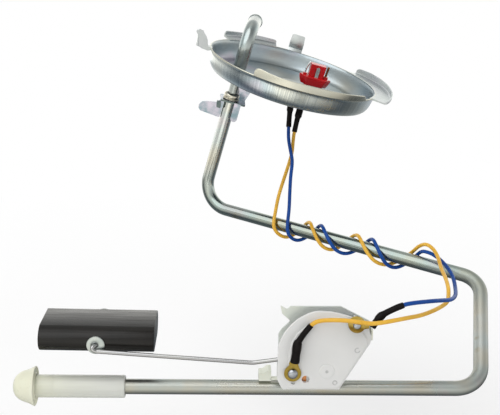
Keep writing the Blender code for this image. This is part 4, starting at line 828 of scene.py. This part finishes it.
# Leads, each route as in the CAD part
BLUE_QUARTERS = (81.0, 87.4, 96.2, 105.3, 116.0, 126.6, 137.0, 146.4, 156.6, 165.8, 175.7)
YELLOW_QUARTERS = (69.3, 77.6, 86.1, 95.4, 105.3, 115.2, 124.1, 134.6, 145.6, 158.1, 170.4)
BLUE_DROP = [
    (-3.45, -8.0, -42.2), (-3.6, -8.5, -43.8), (-3.6, -11.4, -51.9), (-2.1, -14.9, -60.7),
    (-0.9, -17.0, -67.9), (-2.1, -20.4, -79.3), (-2.8, -24.4, -90.4), (-3.4, -29.0, -101.4),
]
YELLOW_DROP = [
    (1.15, -7.5, -46.2), (0.7, -7.9, -47.8), (-0.1, -9.3, -55.1), (-0.8, -10.7, -62.6),
    (-3.4, -12.6, -71.6), (-6.8, -15.8, -81.5), (-10.6, -20.0, -92.8), (-13.0, -25.6, -102.4),
]
BLUE_FREE = [
    (86.4, -80.6, -120.1), (88.8, -86.8, -118.3), (92.4, -92.4, -118.6), (96.4, -99.5, -120.6),
    (99.2, -112.0, -123.1), (99.9, -124.0, -126.0), (98.4, -137.0, -128.5), (94.7, -153.0, -128.3),
    (88.6, -167.0, -126.3), (80.7, -177.5, -123.3), (73.3, -185.5, -121.0), (62.0, -193.5, -119.3),
    (54.0, -197.0, -119.3), (52.6, -197.4, -120.0),
]
YELLOW_FREE = [
    (82.2, -75.6, -120.9), (84.8, -79.8, -116.4), (88.6, -85.4, -113.2), (92.0, -92.5, -114.3),
    (93.6, -102.0, -117.2), (92.9, -118.0, -120.8), (92.2, -136.0, -122.8), (91.2, -148.0, -125.2),
    (90.0, -154.4, -127.9), (87.9, -161.5, -129.4), (83.9, -167.0, -130.2), (76.0, -177.0, -130.0),
    (66.2, -187.0, -129.5), (56.8, -195.0, -128.3), (46.2, -203.0, -127.3), (38.4, -204.6, -128.1),
    (32.6, -205.0, -128.3), (25.3, -204.9, -127.3), (16.6, -202.4, -127.2), (8.0, -199.6, -128.2),
    (2.8, -198.0, -129.4), (-0.4, -198.0, -131.2), (-1.6, -198.0, -132.7),
]
# How far a lead's centre line runs from the wide tube's own
WRAP_REACH = 7.45


def wrap_points(quarters, per_quarter=8):
    """A lead wound round the upper run: it crosses in front, below, behind and above at the quarters."""
    along = (UPPER_END - UPPER_START).normalized()
    upward = (Vector((0.0, 0.0, 1.0)) - along * along.z).normalized()
    forward = along.cross(upward)
    distances = [point.x for point in smooth_line([(quarter, 0.0) for quarter in quarters], per_quarter)]
    points = []
    for index, distance in enumerate(distances):
        angle = math.radians(-90.0 * index / per_quarter)
        outward = forward * math.cos(angle) + upward * math.sin(angle)
        sag = 0.9 * max(0.0, -math.sin(angle))
        points.append(UPPER_START + along * distance + outward * (WRAP_REACH + sag))
    return points


def even_route(points, step):
    """A smooth path through given points, resampled to even steps and slightly relaxed."""
    line = smooth_line(points, 10)
    path = [line[0]]
    left = step
    for before, after in zip(line, line[1:]):
        gap = (after - before).length
        while gap >= left:
            before = before.lerp(after, left / gap)
            gap = (after - before).length
            path.append(before)
            left = step
        left -= gap
    path.append(line[-1])
    for _ in range(3):
        path = [path[0]] + [(a + b * 2 + c) / 4 for a, b, c in zip(path, path[1:], path[2:])] + [path[-1]]
    return path


def make_leads():
    for name, node, look, drop, quarters, free in (
        ("blue_wire", "blue_lead", "blue", BLUE_DROP, BLUE_QUARTERS, BLUE_FREE),
        ("yellow_wire", "yellow_lead", "yellow", YELLOW_DROP, YELLOW_QUARTERS, YELLOW_FREE),
    ):
        route = even_route(drop + wrap_points(quarters)[::4] + free, 1.4)
        piece(name, tube(route, LEAD_RADIUS, 20), look, node)


def width_at(share, widths):
    for (place, width), (following, wider) in zip(widths, widths[1:]):
        if share <= following:
            return width + (wider - width) * (share - place) / (following - place)
    return widths[-1][1]


# Each sleeve's name, CAD node, radius, seed of its unevenness, path and widths along that path
SLEEVES = (
    ("blue_shrink_top", "blue_sleeve_top", 2.0, 3.0,
     (flange_point(8.2, -4.6, -14.0), (-0.6, -2.2, -22.6), (-2.1, -4.0, -27.7), (-3.0, -6.2, -35.9),
      (-3.5, -8.3, -43.2)),
     ((0.0, 1.25), (0.57, 1.27), (0.62, 0.99), (0.8, 0.95), (1.0, 0.99))),
    ("yellow_shrink_top", "yellow_sleeve_top", 2.0, 7.0,
     (flange_point(14.6, -5.8, -14.0), (6.5, -1.8, -23.6), (5.2, -3.8, -30.0), (2.9, -5.8, -38.2),
      (0.9, -7.7, -47.1)),
     ((0.0, 1.32), (0.61, 1.32), (0.66, 1.02), (0.82, 0.97), (1.0, 0.99))),
    ("blue_shrink_end", "blue_sleeve_end", 1.9, 11.0,
     ((53.4, -197.2, -119.6), (48.0, -197.9, -121.6), (41.0, -198.6, -125.2), (37.2, -199.6, -129.0),
      (34.9, -200.0, -132.4)),
     ((0.0, 0.98), (0.52, 1.0), (0.62, 1.3), (0.74, 1.28), (0.8, 1.1), (1.0, 1.12))),
    ("yellow_shrink_end", "yellow_sleeve_end", 1.85, 17.0,
     ((-0.9, -198.0, -131.8), (-5.1, -198.0, -137.3), (-8.3, -197.8, -142.6), (-8.9, -198.2, -144.2),
      (-9.5, -198.2, -149.5), (-10.2, -198.3, -155.3)),
     ((0.0, 0.98), (0.46, 0.98), (0.51, 1.48), (0.60, 1.54), (0.8, 1.4), (1.0, 1.55))),
)


def make_sleeves():
    """Shrunk sleeves: slightly uneven, with a step where a lead's end or a ring's tongue lies inside."""
    for name, node, radius, seed, points, widths in SLEEVES:
        route = even_route(points, 0.6)
        radii = []
        for index, point in enumerate(route):
            wave = noise.noise(point * 0.35 + Vector((seed, 0.0, 0.0)))
            radii.append(radius * width_at(index / (len(route) - 1), widths) * (1.0 + 0.04 * wave))
        radii[0] *= 0.93
        radii[-1] *= 0.93
        piece(name, tube(route, radii, 28), "shrink", node)


# Sender, with outlines in X and Z
COVER = [
    (-20.1, -147.6, 3.0), (-18.4, -142.2, 12.0), (-15.9, -137.7, 12.0), (-12.8, -133.8, 12.0),
    (-8.2, -129.4, 14.0), (-1.2, -125.6, 14.0), (4.2, -124.6, 14.0), (11.4, -125.2, 14.0), (16.4, -126.2, 14.0),
    (23.0, -128.2, 8.0), (29.8, -130.9, 5.0), (33.4, -134.4, 4.0), (35.8, -140.6, 3.0), (35.2, -144.8, 2.0),
    (17.3, -174.4, 0.8), (-16.6, -174.3, 1.2), (-18.0, -172.7, 2.0), (-20.1, -168.2, 3.0),
]
PANEL = [
    (-13.4, -150.0), (-12.2, -144.0), (-9.0, -138.2), (-3.4, -133.6), (4.0, -130.8), (11.0, -130.6),
    (18.0, -130.4), (28.0, -133.6), (34.6, -144.0), (17.0, -173.7), (-13.8, -173.7), (-14.4, -169.0),
]
BOSS = [(0.0, 0.34), (0.6, 0.34), (0.75, 0.28), (0.9, 0.34), (1.2, 0.38), (3.3, 0.38), (4.0, 0.34), (4.5, 0.22),
        (4.75, 0.05), (4.8, -0.2), (0.0, -0.2)]
RIVET_LEFT = (-11.1, -163.2)
RIVET_RIGHT = (25.9, -132.1)
# The right rivet's head and the ring on it stand this much above the rivet's hole
RIGHT_RISE = 0.9
RING_RADIUS = 5.15


def offset_inward(loop, distance):
    moved = []
    for index, corner in enumerate(loop):
        a, b, c = Vector(loop[index - 1][:2]), Vector(corner[:2]), Vector(loop[(index + 1) % len(loop)][:2])
        first, second = (b - a).normalized(), (c - b).normalized()
        normal_a, normal_b = Vector((first.y, -first.x)), Vector((second.y, -second.x))
        middle = (normal_a + normal_b).normalized()
        moved.append(tuple(b + middle * distance / max(0.4, middle.dot(normal_a))))
    return moved


def faced(outline, y, rounding):
    """A moulded plate seen from the front: one outline per depth, moved in by its rounding."""
    return loft([[(x, y + depth, z) for x, z in offset_inward(outline, inset)] for depth, inset in rounding])


def make_housing():
    """The front cover: its rounded face, a raised panel that fades into it, the skirt and the boss."""
    face_y = COVER_Y + 0.8
    face = faced(rounded(COVER, steps=6), face_y,
                 ((0.0, 0.5), (0.08, 0.22), (0.25, 0.05), (0.5, 0.0), (1.6, 0.0)))
    panel = faced(rounded(PANEL, 5.0, 6), COVER_Y,
                  ((0.0, 1.1), (0.06, 0.7), (0.25, 0.3), (0.55, 0.1), (0.95, 0.0)))
    inside = face_y + 1.6
    wall = COVER[12:] + [(-20.1, -158.7), (-18.3, -158.7)] + offset_inward(COVER, 1.8)[:11:-1]
    skirt_front, skirt_back = inside - 0.4, -187.0
    depth = skirt_back - skirt_front
    skirt = plate([wall], depth, upright(skirt_front, depth))
    boss = turned(BOSS, 72, False)
    boss.transform(shift(PIVOT[0], COVER_Y, PIVOT[1]) @ UPRIGHT)
    front, back = COVER_Y - 2.0, inside + 1.0
    holes = (
        (*RIVET_LEFT, 1.75, front, back),
        (*RIVET_RIGHT, 1.75, front, back),
        (-3.2, -167.4, 2.35, front, back),
        (-10.6, -169.6, 1.25, front, COVER_Y + 1.2),
    )
    piece("front_cover", bored(merged([face, panel, skirt, boss]), holes), "nylon", "sender_housing")


def make_marks():
    """Two ring marks and the boss's dot on the front cover, thin and darker than the cover in painted shade, and
    the white edge seen in its window.
    """
    marks = []
    for x, z, radius, start, end in ((27.4, -148.9, 1.75, 60.0, 350.0), (14.5, -169.6, 1.6, -40.0, 300.0)):
        outline = arc(radius, start, end, 36) + arc(radius - 0.7, start, end, 36)[::-1]
        marks.append(plate([outline], 0.12, shift(x, COVER_Y - 0.02, z) @ UPRIGHT))
    dot = arc(0.95, 0.0, 345.0, 24)
    marks.append(plate([dot], 0.14, shift(PIVOT[0], COVER_Y - 0.36, PIVOT[1]) @ UPRIGHT))
    piece("mould_marks", merged(marks), "mark")
    piece("window_post", block((-2.5, -192.58, -170.0), (0.4, -192.38, -164.8)), "nylon")


def make_sender_plate():
    sheet = [(-12.4, -124.9, 0.8), (18.1, -124.9, 1.5), (35.8, -134.2, 1.5), (37.2, -136.4, 0.8), (37.2, -146.0),
             (18.6, -173.0), (17.2, -178.0), (-16.2, -178.0), (-19.3, -166.5), (-19.3, -142.4, 1.0),
             (-17.6, -139.4, 2.0), (-12.2, -134.0, 1.2), (-17.4, -129.4, 1.2), (-18.4, -124.5, 0.25),
             (-14.3, -126.9, 1.2)]
    ear = [(-190.0, -144.6), (PLATE_Y + 0.2, -144.6), (PLATE_Y + 0.2, -137.0), (-188.6, -137.0), (-190.0, -138.4)]
    sideways = Matrix(((0, 0, 1, 0.0367), (1, 0, 0, 0.0), (0, 1, 0, 0.0), (0, 0, 0, 1)))
    meshes = [plate([rounded(sheet, 0.6, 5)], PLATE_THICKNESS, upright(PLATE_Y, PLATE_THICKNESS)),
              plate([rounded(ear, 0.7, 4)], 1.0, sideways)]
    piece("sender_plate", merged(meshes), "plate", "sender_bracket", bevel=0.22)


def make_rings():
    tongue = rounded([(3.6, 6.0), (3.3, 7.6), (-1.9, 7.6), (-2.6, 5.6)], 0.5)
    loops = [arc(RING_RADIUS, 134.0, 400.0, 64) + tongue, circle(2.65, 48)]
    place = shift(RIVET_LEFT[0], COVER_Y - 0.7, RIVET_LEFT[1]) @ UPRIGHT
    piece("ring_left", plate(loops, 0.8, place), "brass", "ring_terminal_left", bevel=0.15)
    tongue = [(5.9, -2.6), (7.2, -2.3), (7.5, 0.3), (6.2, 0.9)]
    loops = [arc(RING_RADIUS, 18.0, 328.0, 64) + tongue, circle(2.3, 48)]
    lean = Matrix.Rotation(math.radians(-40.0), 4, "X")
    place = shift(RIVET_RIGHT[0], COVER_Y - 3.9, RIVET_RIGHT[1] + RIGHT_RISE) @ lean @ UPRIGHT
    piece("ring_right", plate(loops, 0.8, place), "brass", "ring_terminal_right", bevel=0.15)


def make_rivets():
    for name, node, x, z, front, head in (
        ("rivet_head_left", "rivet_left", *RIVET_LEFT, COVER_Y - 1.8, 3.1),
        ("rivet_head_right", "rivet_right", RIVET_RIGHT[0], RIVET_RIGHT[1] + RIGHT_RISE, COVER_Y - 5.9, 2.4),
    ):
        dome = [(0.0, head * 0.6)]
        for step in range(1, 14):
            angle = math.radians(90.0 - 90.0 * step / 14)
            dome.append((head * math.cos(angle), head * 0.6 * math.sin(angle)))
        foot = front - PLATE_Y - PLATE_THICKNESS
        dome += [(head, -0.1), (head - 0.12, -0.35), (head - 0.3, -0.4), (1.4, -0.4), (1.4, foot), (0.0, foot)]
        mesh = turned(dome, 56, False)
        mesh.transform(shift(x, front, z) @ UPRIGHT)
        piece(name, mesh, "rivet", node)


# Arm and float
def make_arm():
    points = [Vector((x, ARM_Y, z)) for x, z in (
        (PIVOT[0] - 3.4, PIVOT[1] + 2.3), (-4.6, -156.2), (-12.9, -155.5), (-20.4, -156.7), (-34.8, -158.7),
        (-93.3, -154.4), (AXIS_X + 2.6, AXIS_Z - 3.0))]
    path = points[:1]
    for index, (radius, steps) in enumerate(((4.0, 6), (6.0, 6), (8.0, 6), (12.0, 8)), 1):
        path += filleted([path[-1]] + points[index:index + 2], radius, steps)[1:-1]
    hook = [path[-1].lerp(points[6], 0.97), points[6]]
    for x, back, z in ((0.6, 0.0, -2.8), (-1.0, 0.0, -2.1), (-1.7, 0.2, -1.0), (-1.1, 0.8, -0.2), (0.0, 2.2, 0.0),
                       (0.0, 4.0, 0.0)):
        hook.append(Vector((AXIS_X + x, ARM_Y + back, AXIS_Z + z)))
    path += smooth_line(hook)
    back = FLOAT_FRONT + 30.0 + 15.2 + 4.0
    path = spaced(path + [Vector((AXIS_X, back - 0.3, AXIS_Z)), Vector((AXIS_X, back, AXIS_Z))], 8.0)
    piece("wire_arm", tube(path, [1.3] * (len(path) - 1) + [1.0], 28), "wire", "arm_wire", body="arm")


def make_float():
    """The foam float: flat above and below, round in front and behind, with softly broken end edges."""
    half, reach, bulge = 8.1, 15.0, 7.6
    widest = math.radians(72.0)
    outline = []
    for step in range(49):
        angle = math.radians(-72.0 + 3.0 * step)
        share = (math.cos(angle) - math.cos(widest)) / (1.0 - math.cos(widest))
        outline.append((reach + bulge * share, half * (math.sin(angle) / math.sin(widest))))
    outline += [(-y, -z) for y, z in outline]
    centre = Vector((AXIS_X, FLOAT_FRONT + bulge + reach, -147.3))
    lean = Matrix.Rotation(math.radians(1.1), 3, "Y")
    left_end = [(-34.8, 0.55), (-34.7, 0.28), (-34.5, 0.08), (-34.2, 0.0), (-12.0, 0.0)]
    sections = []
    for x, shrink in left_end + [(-x, shrink) for x, shrink in left_end[::-1]]:
        section = []
        for corner in outline:
            flat = Vector(corner)
            flat -= flat.normalized() * shrink
            section.append(centre + lean @ Vector((x, flat.x, flat.y)))
        sections.append(section)
    mesh = bored(loft(sections, 50.0), ((AXIS_X, AXIS_Z, 1.4, -200.0, -125.0),))
    piece("foam_float", mesh, "foam", "float", body="float_body")


def make_washers():
    for name, node, y, rim in (
        ("washer_front", "float_washer_front", -187.6, 5.5),
        ("washer_back", "float_washer_back", -140.9, 7.0),
    ):
        profile = [(1.55, -0.1), (1.7, 0.0), (rim - 0.3, 0.0), (rim - 0.1, -0.08), (rim, -0.25), (rim, -0.7),
                   (rim - 0.2, -0.88), (rim - 0.4, -0.9), (1.7, -0.9), (1.55, -0.8)]
        mesh = turned(profile, 72)
        mesh.transform(shift(AXIS_X, y, AXIS_Z) @ UPRIGHT)
        piece(name, mesh, "washer", node, body="arm")


# Pickup end
def along_run(mesh, x):
    turn = Matrix.Rotation(math.radians(-90.0) + math.atan(RUN_SLOPE), 4, "Y")
    mesh.transform(shift(x, RUN_Y, run_height(x)) @ turn)
    return mesh


def make_pickup():
    end = 62.0
    profile = [(5.07, end), (6.6, end), (6.85, end - 0.1), (7.0, end - 0.4), (7.0, 44.0), (6.92, 43.6),
               (6.92, 42.9), (7.0, 42.5), (7.0, 2.0), (6.95, 0.8), (6.8, 0.25), (6.5, 0.0), (5.5, 0.0),
               (5.2, 0.15), (5.07, 0.5)]
    piece("end_sleeve", along_run(turned(profile), -112.9), "sleeve", "pickup_sleeve")
    outer = smooth_line([(0.0, 13.2), (2.8, 13.0), (4.8, 12.35), (6.5, 11.2), (7.9, 9.7), (8.9, 8.0), (9.65, 6.0),
                         (10.25, 4.1), (10.95, 2.4), (11.75, 0.9)])
    profile = [(max(0.0, point.x), point.y) for point in outer]
    profile += [(12.05, 0.3), (12.2, 0.0), (12.15, -0.25), (11.9, -0.45), (11.5, -0.45), (11.2, -0.1),
                (10.9, 0.15), (8.9, 0.2), (8.6, 0.1), (8.45, -0.3), (8.3, -0.75), (8.1, -0.9), (7.4, -0.9),
                (7.3, -0.8), (7.3, 7.6), (6.0, 9.4), (0.0, 11.4)]
    piece("end_head", along_run(turned(profile, closed=False), -168.2), "cream", "pickup_head")


def make_clip():
    left, right, front, depth = -30.8, -23.2, -182.8, 9.2
    outline = [(left, -173.6, 0.2), (left, -169.0, 0.8), (left + 2.4, -168.8, 0.8), (right - 2.1, -166.7, 0.8),
               (right, -166.7, 0.6), (right, -173.6, 0.2)]
    meshes = [
        plate([rounded(outline, steps=5)], depth, upright(front, depth)),
        block((left, -178.4, -174.8), (right, front + depth, -173.0)),
        block((right - 0.6, front, -172.9), (-14.0, front + 3.0, -171.8)),
    ]
    piece("clip_block", merged(meshes), "clip", "run_clip", bevel=0.3)


for make in (make_cup, make_outlet, make_collar, make_tube, make_bracket, make_block, make_blades, make_leads,
             make_sleeves, make_housing, make_marks, make_sender_plate, make_rings, make_rivets, make_arm,
             make_float, make_washers, make_pickup, make_clip):
    make()


# Looks of the CAD solids that stay in view
for name, look in (("rear_cover", "nylon"), ("resistor_card", "board"), ("resistance_winding", "copper"),
                   ("contact_strip", "copper"), ("arm_hub", "hub"), ("pivot_pin", "wire"),
                   ("wiper_contact", "brass")):
    dress(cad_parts[name], look)


# Floor, sky and lamp
def make_stage():
    """The floor: nearly white to the eye, and to glossy rays a glowing pattern of painted bright and dark zones
    for the metal to mirror.
    """
    mesh = bpy.data.meshes.new("floor")
    reach, height = 3.0, -0.29
    corners = [(-reach, -reach, height), (reach, -reach, height), (reach, reach, height), (-reach, reach, height)]
    mesh.from_pydata(corners, [], [(0, 1, 2, 3)])
    floor = placed("floor", mesh)
    material, tree, shader = new_material("pale_floor")
    base = ramp(tree, cloud(tree, 3.0), ((0.3, 0.965), (0.7, 0.98)))
    feed(tree, shader, {"Base Color": base, "Roughness": 1.0, "Specular IOR Level": 0.0})
    place = own_place(tree)
    parts = axes(tree, place)
    # Painted reflection: bright and dark zones that glow only for glossy rays, for the metal to mirror
    across = ramp(tree, spread(tree, parts["X"], 0.0, 1.0, -1.0, 1.0), (
        (0.0, 0.45), (0.16, 0.62), (0.34, (1.0, 1.0, 0.98)), (0.47, 0.78), (0.56, 0.62), (0.66, 0.62),
        (1.0, 0.66)))
    ahead = ramp(tree, spread(tree, parts["Y"], 0.0, 1.0, -1.0, 1.0), (
        (0.0, (1.0, 1.0, 0.96)), (0.18, (1.0, 0.99, 0.94)), (0.31, (0.80, 0.79, 0.74)),
        (0.36, (0.58, 0.57, 0.53)), (0.385, (0.36, 0.36, 0.34)), (0.41, (0.14, 0.15, 0.16)),
        (0.47, (0.07, 0.085, 0.10)), (0.60, (0.22, 0.24, 0.25)), (0.75, (0.48, 0.49, 0.49)),
        (1.0, (0.60, 0.61, 0.61))))
    painted_reflection_glow = add(tree, "ShaderNodeEmission", {"Color": blend(tree, across, ahead), "Strength": 1.7})
    rays = add(tree, "ShaderNodeLightPath").outputs
    mirrored = either(tree, rays["Is Glossy Ray"], shader.outputs[0], painted_reflection_glow.outputs[0])
    distance = spread(tree, measure(tree, "LENGTH", place), 0.0, 1.0, 0.4, 0.95)
    far = maths(tree, "MULTIPLY", distance, rays["Is Camera Ray"])
    white = add(tree, "ShaderNodeEmission", {"Color": WHITE, "Strength": 1.0})
    feed(tree, tree.nodes["Material Output"], {"Surface": either(tree, far, mirrored, white.outputs[0])})
    mesh.materials.append(material)


def make_world():
    """White behind the part, plain light from all sides, and bright and dark zones for the metal to mirror."""
    world = bpy.data.worlds.new("studio")
    bpy.context.scene.world = world
    world.use_nodes = True
    tree = world.node_tree
    tree.nodes.clear()

    def sky(colour, strength):
        return add(tree, "ShaderNodeBackground", {"Color": colour, "Strength": strength}).outputs[0]

    parts = axes(tree, add(tree, "ShaderNodeTexCoord").outputs["Generated"])
    height = ramp(tree, spread(tree, parts["Z"], 0.0, 1.0, -1.0, 1.0), (
        (0.0, 0.5), (0.49, (1.0, 0.99, 0.94)), (0.58, (0.94, 0.94, 0.90)), (0.68, (0.74, 0.74, 0.72)),
        (0.78, (0.50, 0.51, 0.50)), (0.88, (0.42, 0.43, 0.42)), (0.96, (0.48, 0.48, 0.46)),
        (1.0, (0.58, 0.58, 0.55))))
    # The bearing runs from 0 at the back through 0.5 towards the viewer to 1
    turn = maths(tree, "ARCTAN2", parts["X"], maths(tree, "MULTIPLY", parts["Y"], -1.0))
    bearing = ramp(tree, spread(tree, turn, 0.0, 1.0, -math.pi, math.pi), (
        (0.0, 1.0), (0.16, 0.80), (0.27, 0.56), (0.40, (0.80, 0.80, 0.78)), (0.45, (0.86, 0.86, 0.84)),
        (0.50, 0.72), (0.58, 0.58), (0.70, (0.44, 0.45, 0.46)), (0.84, 0.75), (1.0, 1.0)))
    rays = add(tree, "ShaderNodeLightPath").outputs
    lit = either(tree, rays["Is Glossy Ray"], sky(WHITE, 0.66), sky(blend(tree, height, bearing), 1.8))
    seen = either(tree, rays["Is Camera Ray"], lit, sky(WHITE, 1.0))
    add(tree, "ShaderNodeOutputWorld", {"Surface": seen})


def make_lamp():
    data = bpy.data.lights.new("key", "SUN")
    data.energy = 1.4
    data.angle = math.radians(65.0)
    placed("key", data).rotation_euler = Vector((0.45, 0.55, -0.9)).to_track_quat("-Z", "Y").to_euler()


make_stage()
make_world()
make_lamp()
bpy.context.scene.view_settings.view_transform = "Standard"
